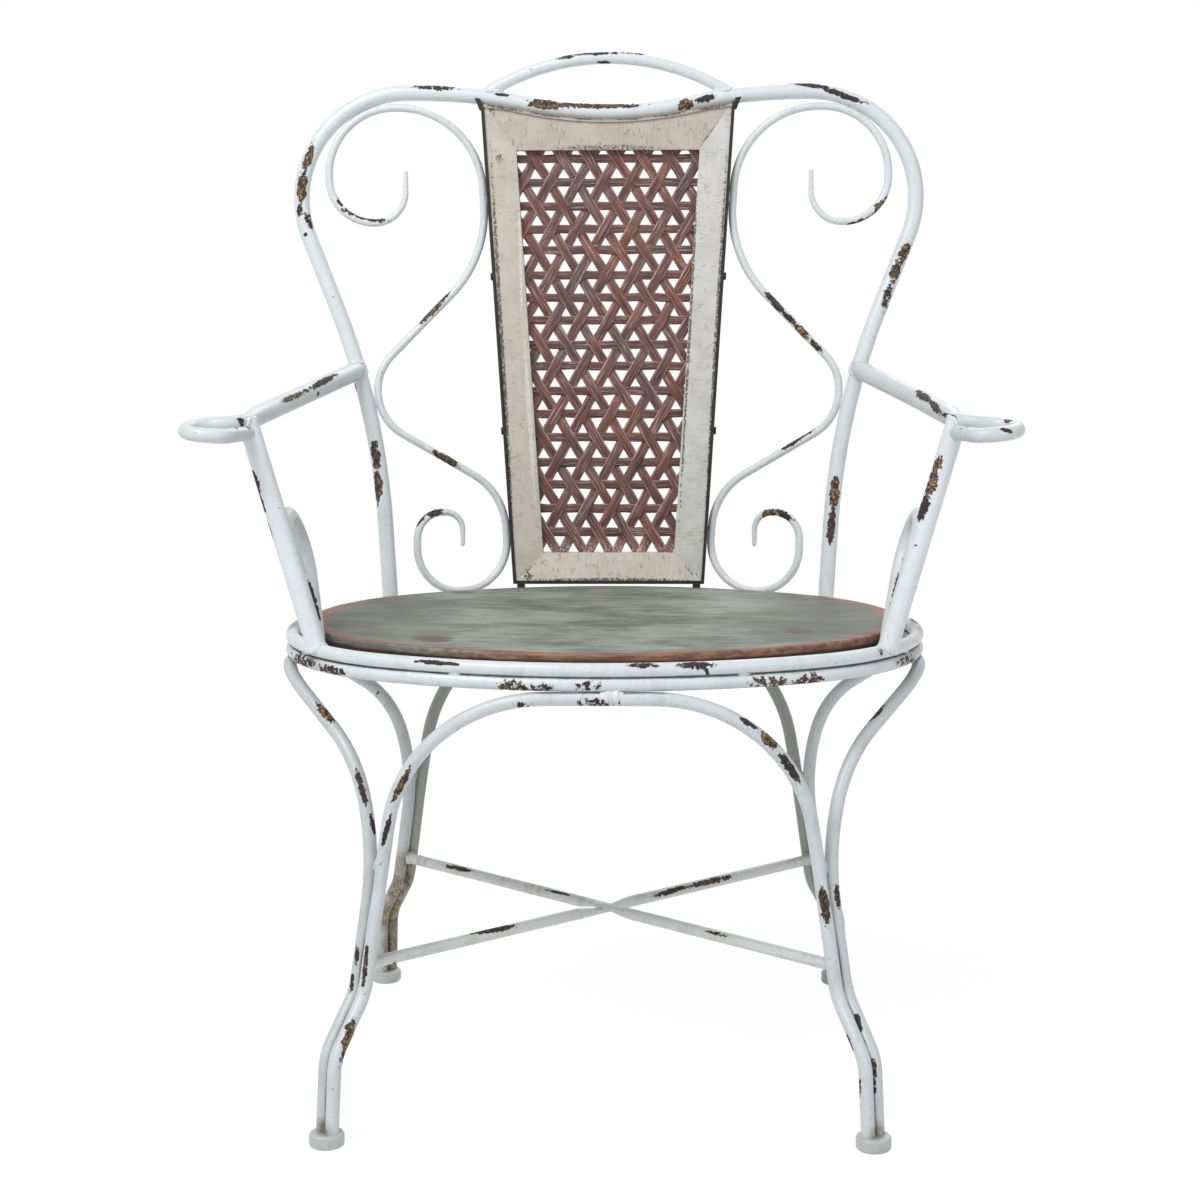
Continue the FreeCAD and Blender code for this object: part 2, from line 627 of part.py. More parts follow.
strips = {-1: strip_left, 1: strip_right}
stiles = {-1: stile_left, 1: stile_right}
side_angle = math.degrees(math.atan(SPLAT_FLARE))
splat_screws = []
for side in (-1, 1):
    for step in range(SPLAT_SCREWS):
        v = SPLAT_TOP_V * (step + 1) / (SPLAT_SCREWS + 1)
        screw = screw_up(0, 0, 0, STRIP_THICKNESS + SCREW_BITE)
        hole = Part.makeCylinder(hole_size, STRIP_THICKNESS + SCREW_BITE + 2 * SLIP)
        for shape in (screw, hole):
            shape.rotate(Vector(0, 0, 0), Vector(0, 1, 0), -90)
            shape.rotate(Vector(0, 0, 0), Vector(0, 0, 1), -side_angle)
            shape.translate(Vector(splat_half(v), v))
        if side < 0:
            screw, hole = mirror_side(screw), mirror_side(hole)
        strips[side] = strips[side].cut(hole)
        stiles[side] = stiles[side].cut(hole)
        splat_screws.append(screw)

for name, shape in (("splat_strip_left", strips[-1]), ("splat_strip_right", strips[1]),
                    ("splat_strip_bottom", strip_bottom), ("splat_strip_top", strip_top),
                    ("splat_stile_left", stiles[-1]), ("splat_stile_right", stiles[1]),
                    ("splat_rail_bottom", rail_bottom), ("splat_rail_top", rail_top),
                    ("cane_panel", cane_panel)):
    save(name, placed(shape))
save("splat_screws", placed(Part.makeCompound(splat_screws)), solids=len(splat_screws))

# Weld tabs from the splat to the ring below and the hoop above

tab_u = SPLAT_FOOT_HALF - TAB_WIDTH
tab_w = SPLAT_FOOT_Y - ring_depth_at(tab_u)
tab_drop = SPLAT_FOOT_Z - SEAT_RING_HEIGHT
low_tab = Part.makeBox(TAB_WIDTH, tab_drop, TAB_WIDTH,
                       Vector(tab_u - TAB_WIDTH / 2, -tab_drop, tab_w - TAB_WIDTH / 2))
low_tab = placed(low_tab).cut(upper_ring_room)
tab_high = splat_v(HOOP_TOP_Z)
tab_low = tab_high - HOOP_TUBE / 2 - TAB_HEIGHT
high_tab = prism([Vector(splat_half(tab_low), tab_low), Vector(splat_half(tab_low) + TAB_WIDTH / 4, tab_low),
                  Vector(splat_half(tab_high) + TAB_WIDTH, tab_high), Vector(splat_half(tab_high), tab_high)],
                 -TAB_DEPTH / 2, TAB_DEPTH / 2)
high_tab = solids_by_place(placed(high_tab).cut(hoop_room), "z")[0]
save("splat_tabs_lower", Part.makeCompound([mirror_side(low_tab), low_tab]), solids=2)
save("splat_tabs_upper", Part.makeCompound([mirror_side(high_tab), high_tab]), solids=2)


# Back scrolls, bent in the sheet between the splat's edge and the hoop

SCROLL_TOUCH = SCROLL_BAR / 2 + LAY_GAP
hoop_wire = Part.Wire(hoop_edges)
ring_wire = Part.Wire(ring_edges)


def hoop_half_at(z):
    """Half-width of the hoop's middle line at a height below its brow."""
    level = Part.makeLine(on_hoop(HOOP_DIP_START_HALF, z), on_hoop(HOOP_SHOULDER_HALF + HOOP_TUBE, z))
    return level.distToShape(hoop_wire)[1][0][0].x


def beside_splat(z):
    return splat_half(splat_v(z)) + SCROLL_TOUCH


def on_back(x, z):
    splat_edge = splat_half(splat_v(z))
    splat_y = SPLAT_FOOT_Y + (z - SPLAT_FOOT_Z) * SPLAT_SLOPE
    share = (x - splat_edge) / (hoop_half_at(z) - splat_edge)
    return Vector(x, splat_y + share * (hoop_y(z) - splat_y), z)


def back_height(share):
    low = SEAT_RING_HEIGHT + RING_TUBE / 2
    return low + share * (HOOP_TOP_Z - low)


def back_path(outline, radii):
    return rounded_path([on_back(x, z) for x, z in outline], radii)


neck_z = back_height(SCROLL_NECK)
belly_z = back_height(SCROLL_BELLY)
hip_z = back_height(SCROLL_HIP)
curl_out = HOOP_SHOULDER_HALF - SCROLL_SHOULDER_INSET
curl_in = curl_out - SCROLL_CURL_WIDTH


def crown(top):
    """The upper curl, from its tip to the belly beside the splat."""
    curl = top - SCROLL_CURL_HEIGHT
    return [(curl_in, curl + SCROLL_CURL_TIP), (curl_in, curl), (curl_out, curl), (curl_out, top),
            (beside_splat(top), top), (beside_splat(belly_z), belly_z)]


def neck(x):
    return [(x, neck_z + SCROLL_NECK_HALF), (x, neck_z - SCROLL_NECK_HALF)]


def eye(foot):
    """The lower curl, from the hip beside the splat along the seat ring to its tip."""
    out = beside_splat(foot) + SCROLL_EYE_WIDTH
    top = foot + SCROLL_EYE_HEIGHT
    return [(beside_splat(hip_z), hip_z), (beside_splat(foot), foot), (out, foot), (out, top),
            (out - SCROLL_EYE_INNER, top), (out - SCROLL_EYE_INNER, top - SCROLL_EYE_TIP)]


CROWN_BENDS = len(crown(0)) - 2
crown_radii = SCROLL_RADII[:CROWN_BENDS]
neck_radii = SCROLL_RADII[CROWN_BENDS + 1:CROWN_BENDS + 3]
eye_radii = SCROLL_RADII[CROWN_BENDS + 4:]


def crown_path(top):
    return Part.Wire(back_path(crown(top), crown_radii))


def neck_path(x):
    return Part.Wire(back_path([crown(HOOP_TOP_Z)[-1]] + neck(x) + [eye(0)[0]], neck_radii))


def eye_path(foot):
    return Part.Wire(back_path(eye(foot), eye_radii))


hoop_touch = HOOP_TUBE / 2 + SCROLL_TOUCH
ring_touch = RING_TUBE / 2 + SCROLL_TOUCH
scroll_top = settled(HOOP_TOP_Z - SCROLL_TOP_DROP, crown_path, hoop_wire, hoop_touch, 1)
scroll_neck = settled(hoop_half_at(neck_z) - hoop_touch, neck_path, hoop_wire, hoop_touch, 1)
scroll_foot = settled(SEAT_RING_HEIGHT + ring_touch, eye_path, ring_wire, ring_touch, -1)
scroll_edges = back_path(crown(scroll_top) + neck(scroll_neck) + eye(scroll_foot), SCROLL_RADII)
back_scroll = drawn_bar(scroll_edges, SCROLL_TIP_EDGES, SCROLL_TIP_EDGES, SCROLL_BAR, SCROLL_TIP)
save("scroll_back_right", back_scroll)
save("scroll_back_left", mirror_side(back_scroll))


# Arms: a tube from the hoop over the post, narrowed and looped back to the post

arm_bend = Vector(SEAT_HALF_WIDTH + ARM_BEND_OUT, ARM_BEND_Y, ARM_BEND_Z)
arm_rest = Vector(SEAT_HALF_WIDTH + ARM_REST_OUT, ARM_REST_Y, ARM_REST_Z)
arm_foot_half = SEAT_HALF_WIDTH - ARM_FOOT_INSET
post_foot = Vector(arm_foot_half, -ring_depth_at(arm_foot_half), SEAT_RING_HEIGHT)
post_run = unit(arm_rest - post_foot)
post_length = (arm_rest - post_foot).Length
arm_run = unit(arm_rest - arm_bend)
arm_root = on_hoop(hoop_half_at(ARM_HOOP_Z), ARM_HOOP_Z)
loop_start = arm_rest + arm_run * ARM_LOOP_START
swage_end = loop_start - arm_run * ARM_LOOP_RADIUS
swage_start = swage_end - arm_run * ARM_SWAGE


def loop_corner(out, forward, drop_share):
    return loop_start + Vector(out, -forward, -ARM_LOOP_DROP * drop_share)


loop_end = post_foot + post_run * (post_length - ARM_LOOP_DROP / post_run.z)
loop_points = [swage_end, loop_start, loop_corner(ARM_LOOP_REACH, 0, 0.25),
               loop_corner(ARM_LOOP_REACH, ARM_LOOP_DEPTH, 0.5),
               loop_corner(ARM_LOOP_REACH - ARM_LOOP_RETURN, ARM_LOOP_DEPTH, 0.75), loop_end]
loop_edges = rounded_path(loop_points, [ARM_LOOP_RADIUS] * 3 + [ARM_LOOP_RETURN_RADIUS])


def arm_tube(room):
    """The arm up to the last run of its loop, grown all round by some room."""
    straight = tube([arm_root, arm_bend, swage_start], [ARM_BEND_RADIUS], ARM_TUBE + 2 * room)
    swage = Part.makeCone(ARM_TUBE / 2 + room, ARM_LOOP_TUBE / 2 + room, ARM_SWAGE, swage_start, arm_run)
    return straight.fuse(swage).fuse(swept(loop_edges[:-1], ARM_LOOP_TUBE + 2 * room))


def post_tube(room):
    return Part.makeCylinder(ARM_TUBE / 2 + room, post_length, post_foot, post_run)


post_room = post_tube(WELD_GAP)
loop_return = swept(loop_edges[-1:], ARM_LOOP_TUBE).cut(post_room)
arm = arm_tube(0.0).cut(hoop_room).fuse(loop_return)
arm_post = post_tube(0.0).cut(upper_ring_room).cut(arm_tube(WELD_GAP))
save("arm_right", arm)
save("arm_left", mirror_side(arm))
save("arm_post_right", arm_post)
save("arm_post_left", mirror_side(arm_post))


# Arm scrolls, in the upright sheet through each post, measured back from the post and along it: up
# behind the post, over in a half circle and down against it to a square end

post_back = unit(Vector(0, 1, 0) - post_run * post_run.y)
touch_post = (ARM_TUBE + ARM_SCROLL_BAR) / 2 + LAY_GAP
scroll_back = touch_post + 2 * ARM_SCROLL_RADIUS
scroll_over = ARM_SCROLL_HEIGHT + ARM_SCROLL_RADIUS
scroll_belly = ARM_SCROLL_HEIGHT - ARM_SCROLL_BELLY


def behind_post(back, along):
    return post_foot + post_back * back + post_run * along


arm_scroll_points = [behind_post(ARM_SCROLL_START.x, ARM_SCROLL_START.y),
                     behind_post(scroll_back, scroll_belly), behind_post(scroll_back, scroll_over),
                     behind_post(touch_post, scroll_over),
                     behind_post(touch_post, ARM_SCROLL_HEIGHT - ARM_SCROLL_DROP)]
arm_scroll = tube(arm_scroll_points, [ARM_SCROLL_SWEEP] + [ARM_SCROLL_RADIUS] * 2, ARM_SCROLL_BAR)
arm_scroll = arm_scroll.cut(upper_ring_room).cut(post_room)
save("arm_scroll_right", arm_scroll)
save("arm_scroll_left", mirror_side(arm_scroll))
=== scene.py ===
"""Looks of a welded tube garden armchair with an oval seat board and a wood-framed cane splat.

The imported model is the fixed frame. Its metal, wood and iron nodes keep their shape and get
procedural finishes, the cane is woven strand by strand, and the welds are laid along the seams.
"""

import logging
import math
from dataclasses import dataclass, field
from enum import Enum

import bpy
from mathutils import Matrix, Vector
from mathutils.bvhtree import BVHTree


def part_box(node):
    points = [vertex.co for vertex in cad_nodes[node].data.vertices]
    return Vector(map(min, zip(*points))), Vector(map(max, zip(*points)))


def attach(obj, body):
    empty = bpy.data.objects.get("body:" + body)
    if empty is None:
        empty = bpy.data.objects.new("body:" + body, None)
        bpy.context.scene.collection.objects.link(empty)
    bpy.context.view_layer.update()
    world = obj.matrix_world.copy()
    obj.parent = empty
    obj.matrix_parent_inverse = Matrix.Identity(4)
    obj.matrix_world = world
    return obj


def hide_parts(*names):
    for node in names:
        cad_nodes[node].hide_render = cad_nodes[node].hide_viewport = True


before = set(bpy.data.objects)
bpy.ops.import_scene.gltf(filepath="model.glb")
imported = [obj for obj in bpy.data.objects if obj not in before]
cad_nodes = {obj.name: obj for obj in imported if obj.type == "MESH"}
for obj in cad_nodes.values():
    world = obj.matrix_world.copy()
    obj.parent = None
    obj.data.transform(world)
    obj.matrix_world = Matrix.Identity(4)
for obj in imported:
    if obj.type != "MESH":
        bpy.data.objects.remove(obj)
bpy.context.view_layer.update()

log = logging.getLogger("armchair")
MM = 0.001
BODY = "root"
# Sets the three sets of cane strands apart in a strand's number
STRAND_CODE = 100.0
SIDES = {"left": -1, "right": 1}
Point = tuple[float, float, float]


class Slot(Enum):
    """Material slots of the record."""

    FRAME = "frame_paint"
    RING = "ring_paint"
    LEG = "leg_paint"
    CANE = "cane"


class Grain(Enum):
    """Which way the grain of a wooden piece runs, as how much longer a streak is along x, y and z."""

    ACROSS = (22.0, 1.0, 1.0)
    UPRIGHT = (1.0, 1.0, 22.0)


# Sums and patterns that node trees share

@dataclass(frozen=True, eq=False)
class Value:
    """What a node gives out, used in sums like a plain number."""

    tree: bpy.types.NodeTree
    socket: bpy.types.NodeSocket

    def __add__(self, other: "Number") -> "Value":
        """The sum of two numbers."""
        return calc("ADD", self, other)

    def __sub__(self, other: "Number") -> "Value":
        """This less the other."""
        return calc("SUBTRACT", self, other)

    def __rsub__(self, other: float) -> "Value":
        """The other less this."""
        return calc("SUBTRACT", other, self)

    def __mul__(self, other: "Number") -> "Value":
        """One number times the other."""
        return calc("MULTIPLY", self, other)

    def __truediv__(self, other: "Number") -> "Value":
        """This divided by the other."""
        return calc("DIVIDE", self, other)

    __radd__ = __add__
    __rmul__ = __mul__

    def axis(self, letter: str) -> "Value":
        """One coordinate of a vector, by its letter."""
        return add_node(self.tree, "ShaderNodeSeparateXYZ", {"Vector": self}, out=letter)


Number = Value | float


def add_node(tree: bpy.types.NodeTree, kind: str, links: dict | None = None, out: str | int = 0,
             **settings: str) -> Value | None:
    """Adds a node with its settings and links, and gives one of its outputs.

    Args:
        tree: The node tree.
        kind: The node's type name.
        links: Input name or index to another node's value or a plain one.
        out: Name or index of the output wanted.
        settings: Properties set on the node itself.

    Returns:
        The chosen output, or None from a node that has none.
    """
    node = tree.nodes.new(kind)
    for name, value in settings.items():
        setattr(node, name, value)
    for key, value in (links or {}).items():
        if isinstance(value, Value):
            tree.links.new(value.socket, node.inputs[key])
        else:
            node.inputs[key].default_value = value
    return Value(tree, node.outputs[out]) if len(node.outputs) else None


def calc(operation: str, *values: Number) -> Value:
    """A sum of one to three numbers, at least one of them a node's."""
    tree = next(v.tree for v in values if isinstance(v, Value))
    return add_node(tree, "ShaderNodeMath", dict(enumerate(values)), operation=operation)


def step(value: Value, low: float, high: float) -> Value:
    """A smooth step from 0 at low to 1 at high."""
    links = {"Value": value, "From Min": low, "From Max": high}
    return add_node(value.tree, "ShaderNodeMapRange", links, interpolation_type="SMOOTHSTEP")


def scaled(where: Value, size_mm: float, stretch: Point) -> Value:
    """Coordinates in metres, counted in features of size_mm, stretch times longer on each axis."""
    factors = tuple(1.0 / (size_mm * MM * s) for s in stretch)
    return add_node(where.tree, "ShaderNodeVectorMath", {0: where, 1: factors}, operation="MULTIPLY")


def noise(where: Value, grain_mm: float, detail: float = 3.0, rough: float = 0.55,
          stretch: Point = (1.0, 1.0, 1.0)) -> Value:
    """Noise about 0.5 whose features are grain_mm wide.

    Args:
        where: The coordinates, in metres.
        grain_mm: Width of one feature, in millimetres.
        detail: Octaves of finer noise.
        rough: Strength of the finer octaves.
        stretch: How many times longer a feature is along each axis.

    Returns:
        The noise value.
    """
    links = {"Vector": scaled(where, grain_mm, stretch), "Scale": 1.0, "Detail": detail, "Roughness": rough}
    return add_node(where.tree, "ShaderNodeTexNoise", links)


def linear(hex_colour: str) -> tuple[float, float, float, float]:
    """Turns an sRGB hex colour to linear light.

    Args:
        hex_colour: Six hex digits after a hash.

    Returns:
        Red, green, blue and an alpha of 1.
    """
    parts = [int(hex_colour[i:i + 2], 16) / 255 for i in (1, 3, 5)]
    light = [p / 12.92 if p <= 0.04045 else ((p + 0.055) / 1.055) ** 2.4 for p in parts]
    return (light[0], light[1], light[2], 1.0)


def blend(factor: Value, first: Value | str, second: Value | str) -> Value:
    """Mixes two colours, given as node values or as hex text.

    Args:
        factor: Share of the second colour.
        first: A colour, a node's or hex text.
        second: The other colour.

    Returns:
        The mixed colour.
    """
    pair = [linear(c) if isinstance(c, str) else c for c in (first, second)]
    return add_node(factor.tree, "ShaderNodeMix", {"Factor": factor, 6: pair[0], 7: pair[1]}, out=2,
                    data_type="RGBA")


def surface(colour: Value, roughness: Number, height: Value, depth_mm: float, strength: float,
            **plain: float) -> None:
    """Ends a material in a Principled shader with a bump.

    Args:
        colour: Base colour.
        roughness: Roughness.
        height: Height of the bump, 1 being depth_mm.
        depth_mm: Real height of the bump, in millimetres.
        strength: Strength of the bump.
        plain: Uniform shader values, by input name.
    """
    relief = {"Height": height, "Strength": strength, "Distance": depth_mm * MM}
    bump = add_node(colour.tree, "ShaderNodeBump", relief)
    links = {"Base Color": colour, "Roughness": roughness, "Normal": bump, **plain}
    shader = add_node(colour.tree, "ShaderNodeBsdfPrincipled", links)
    add_node(colour.tree, "ShaderNodeOutputMaterial", {"Surface": shader})


def new_material(name: str) -> tuple[bpy.types.Material, bpy.types.NodeTree]:
    """An empty material and its tree.

    Args:
        name: The material's name.

    Returns:
        The material, and its tree without a node.
    """
    material = bpy.data.materials.new(name)
    material.use_nodes = True
    material.node_tree.nodes.clear()
    return material, material.node_tree


@dataclass(frozen=True)
class Finish:
    """A material drawn on the coordinates of the object that wears it, in metres."""

    name: str

    def build(self) -> bpy.types.Material:
        """Makes the material.

        Returns:
            The material, with its nodes.
        """
        material, tree = new_material(self.name)
        self.draw(add_node(tree, "ShaderNodeTexCoord", out="Object"))
        return material

    def draw(self, where: Value) -> None:
        """Adds the nodes, from the coordinates to the surface.

        Args:
            where: Object coordinates.
        """
        raise NotImplementedError


# Finishes of the metal

@dataclass(frozen=True)
class Wear:
    """A worn or dirty place: a long patch between two points of the surface, in mm.

    rust is how much tan rust its middle has, and a cover under 1 breaks it up into fragments.
    """

    start: Point
    end: Point
    girth: float = 4.0
    rust: float = 0.0
    cover: float = 0.93


Wears = tuple[Wear, ...]

# How the worn patches spread: full inside INNER of the girth, gone past OUTER
INNER, OUTER = 0.40, 1.25
REACH = 2.0 / (INNER + OUTER)
# How far a patch goes on past its two points, in girths
OVERRUN = 0.3


def wear_field(where: Value, patches: Wears) -> tuple[Number, Number]:
    """How worn each point is, and how rusty.

    Args:
        where: Object coordinates.
        patches: The worn places.

    Returns:
        Two values, each 1 at the middle of a patch and 0 away from all of them.
    """
    worn, rusty = 0.0, 0.0
    for patch in patches:
        start, end = Vector(patch.start) * MM, Vector(patch.end) * MM
        run = end - start
        girth = patch.girth * MM
        half = run.length / 2 * REACH + OVERRUN * girth
        links = {"Vector": where, "Location": (start + end) / 2, "Scale": (half, girth, girth),
                 "Rotation": run.to_track_quat("X", "Z").to_euler()}
        local = add_node(where.tree, "ShaderNodeMapping", links, vector_type="TEXTURE")
        away = add_node(where.tree, "ShaderNodeVectorMath", {0: local}, out="Value", operation="LENGTH")
        near = step(away, OUTER, INNER) * patch.cover
        worn = calc("MAXIMUM", near, worn)
        if patch.rust > 0:
            rusty = near * patch.rust + rusty
    return worn, rusty


@dataclass(frozen=True)
class ChippedEnamel(Finish):
    """Brushed oil enamel on mild steel tube, chipped through to scale and rust.

    The eye gets a soft gloss on a cool white skin, hard-edged dark chips with tan rust in the
    larger ones, and a dull green-grey film where dirt has settled. hold is how far sound paint
    stays under the height at which it tears.
    """

    coat: str = "#DFE7EB"
    film: str = "#B4BBB3"
    hold: float = 0.63
    dirt: float = 0.35
    scatter: float = 1.0
    patches: Wears = ()
    grime: Wears = ()
    crevices: Wears = ()
    seams: tuple[float, ...] = ()

    def draw(self, where: Value) -> None:
        """Adds the nodes, from the coordinates to the surface.

        Args:
            where: Object coordinates.
        """
        torn, rusty = self.torn(where)
        bare = step(torn, 0.0, 0.06)
        pits = noise(where, 1.8, 4.0, 0.7)
        film, skin = self.skin(where)
        near_chip = step(torn, -0.12, 0.0) - bare
        skin = blend(near_chip * 0.55, skin, "#BCA58C")
        colour = blend(bare, skin, self.steel(where, torn, rusty, pits))
        strokes = noise(where, 8.0, 2.0, 0.5)
        height = pits * bare * 0.6 + (strokes * 0.5 - bare)
        surface(colour, film * 0.25 + (bare * 0.4 + 0.34), height, 0.35, 0.7)

    def torn(self, where: Value) -> tuple[Value, Number]:
        """Height over the torn edge of the paint, above 0 where it has gone, and the rust.

        Args:
            where: Object coordinates.

        Returns:
            The height, and the share of rust.
        """
        worn, rusty = wear_field(where, self.patches)
        ragged = (noise(where, 4.8, 5.0, 0.70) - 0.5) * 3.3
        torn = ragged + (worn * 1.2 - self.hold)
        # Chips that the front doesn't show lie mostly on the faces that look back
        back = add_node(where.tree, "ShaderNodeNewGeometry", out="Normal").axis("Y")
        chance = step(back, 0.1, 0.7) * 0.12 + noise(where, 27.0, 1.0, 0.5)
        strewn = step(chance, 0.735, 0.795) * (0.8 * self.scatter) - self.hold
        torn = calc("MAXIMUM", torn, ragged + strewn)
        flecks = noise(where, 2.6, 2.0, 0.5) * 1.6 - 1.39
        return calc("MAXIMUM", torn, flecks), rusty

    @staticmethod
    def steel(where: Value, torn: Value, rusty: Number, pits: Value) -> Value:
        """Colour in the chips: near-black scale, and brown to tan rust where it is deep.

        Args:
            where: Object coordinates.
            torn: Height over the torn edge.
            rusty: Share of rust.
            pits: Noise of the pitted metal.

        Returns:
            The colour.
        """
        scale = blend(step(pits, 0.42, 0.70), "#1C181A", "#4B3A38")
        rust = blend(step(pits, 0.42, 0.60), "#5A3A26", "#C29A63")
        deep = rusty * step(torn, 0.18, 0.42)
        return blend(deep * step(noise(where, 5.0, 3.0, 0.6), 0.42, 0.54), scale, rust)

    def skin(self, where: Value) -> tuple[Value, Value]:
        """Share of dirt on the paint, and the colour of the paint with it and with the painted shade in
        crevices and seams.

        Args:
            where: Object coordinates.

        Returns:
            The share, and the colour.
        """
        cloud = step(noise(where, 34.0, 4.0, 0.6), 0.40, 0.72)
        runs = step(noise(where, 6.0, 3.0, 0.6, (1.0, 1.0, 5.0)), 0.30, 0.75)
        film = cloud * runs * self.dirt
        skin = blend(film, self.coat, self.film)
        specks = step(noise(where, 1.6, 2.0, 0.5), 0.64, 0.72)
        skin = blend(specks * (0.1 + 0.5 * self.dirt), skin, "#83837A")
        if self.grime:
            soot, _ = wear_field(where, self.grime)
            streak = noise(where, 3.6, 5.0, 0.75, (1.0, 1.0, 2.5))
            mud = blend(step(streak, 0.49, 0.56), "#93805A", "#382A1A")
            skin = blend(soot * step(streak, 0.32, 0.44) * 0.92, skin, mud)
        if self.crevices:
            # Painted shade: a broken dark line along the crevice between tubes that lie side by side
            crevice_shade, _ = wear_field(where, self.crevices)
            gaps = step(noise(where, 4.0, 3.0, 0.6, (1.0, 1.0, 3.0)), 0.34, 0.50)
            skin = blend(crevice_shade * gaps * 0.85, skin, "#4B453B")
        for level in self.seams:
            # Painted shade: a broken dark line along the level where one tube touches the next
            off = calc("ABSOLUTE", where.axis("Z") - level * MM)
            line = noise(where, 16.0, 4.0, 0.7) * (2.0 * MM) + off
            skin = blend(step(line, 2.6 * MM, 1.6 * MM) * 0.7, skin, "#57524A")
        return film, skin


@dataclass(frozen=True)
class BareIron(Finish):
    """Hot-rolled iron strip left bare: near-black mill scale, a dull sheen and brown bloom."""

    def draw(self, where: Value) -> None:
        """Adds the nodes, from the coordinates to the surface.

        Args:
            where: Object coordinates.
        """
        mottle = noise(where, 9.0, 4.0, 0.6)
        grit = noise(where, 1.4, 3.0, 0.6)
        colour = blend(step(mottle, 0.48, 0.68), "#121011", "#2E2623")
        colour = blend(step(grit, 0.62, 0.74) * 0.3, colour, "#6E6A66")
        surface(colour, mottle * 0.3 + 0.42, grit, 0.12, 0.6)


@dataclass(frozen=True)
class ScrewSteel(Finish):
    """Zinc-plated steel screw gone dull: a grey metal with a broken shine."""

    def draw(self, where: Value) -> None:
        """Adds the nodes, from the coordinates to the surface.

        Args:
            where: Object coordinates.
        """
        tarnish = noise(where, 2.0, 3.0, 0.6)
        colour = blend(step(tarnish, 0.42, 0.62), "#9A9691", "#6A5B50")
        surface(colour, tarnish * 0.3 + 0.3, tarnish, 0.05, 0.5, Metallic=0.9)


# Finishes of the wood and cane

@dataclass(frozen=True)
class CrackedPaint(Finish):
    """Flat chalky paint on a soft wood batten: fine cracks, dark and pale specks, worn edges."""

    coat: str
    grain: Grain
    shade: str
    crackle: float
    dirt: Wears = ()
    rubbed: Wears = ()

    def draw(self, where: Value) -> None:
        """Adds the nodes, from the coordinates to the surface.

        Args:
            where: Object coordinates.
        """
        across = (1.0, 1.0, 7.0) if self.grain is Grain.ACROSS else (7.0, 1.0, 1.0)
        cloud = step(noise(where, 26.0, 4.0, 0.6), 0.38, 0.70)
        streak = noise(where, 1.6, 4.0, 0.6, self.grain.value)
        net = {"Vector": scaled(where, 4.2, across), "Scale": 1.0}
        crack = add_node(where.tree, "ShaderNodeTexVoronoi", net, feature="DISTANCE_TO_EDGE")
        hair = step(crack, 0.055, 0.0)
        hair = hair * step(noise(where, 11.0, 2.0, 0.5), 0.44, 0.60)
        colour = blend(cloud * 0.35, self.coat, self.shade)
        colour = blend(step(streak, 0.52, 0.72) * 0.30, colour, self.shade)
        colour = blend(hair * self.crackle, colour, "#6E665A")
        specks = noise(where, 2.1, 2.0, 0.6)
        colour = blend(step(specks, 0.69, 0.73) * 0.8, colour, "#4F4842")
        colour = blend(step(specks, 0.31, 0.27) * 0.8, colour, "#EDEAE2")
        if self.rubbed:
            bright, _ = wear_field(where, self.rubbed)
            worn = step(noise(where, 3.0, 4.0, 0.7) * 1.6 + (bright - 1.3), 0.0, 0.4)
            colour = blend(worn * 0.6, colour, "#EFEDEA")
        # Darkening from the dirt patches: real dirt and marks, and on the strip under the hoop a painted
        # shadow line
        soot, _ = wear_field(where, self.dirt)
        grit = noise(where, 2.4, 5.0, 0.75) * 2.6 + (soot - 1.95)
        colour = blend(step(grit, 0.0, 0.3) * 0.85, colour, "#3B352F")
        surface(colour, 0.72, hair * -0.8 + streak * 0.7, 0.25, 0.6)


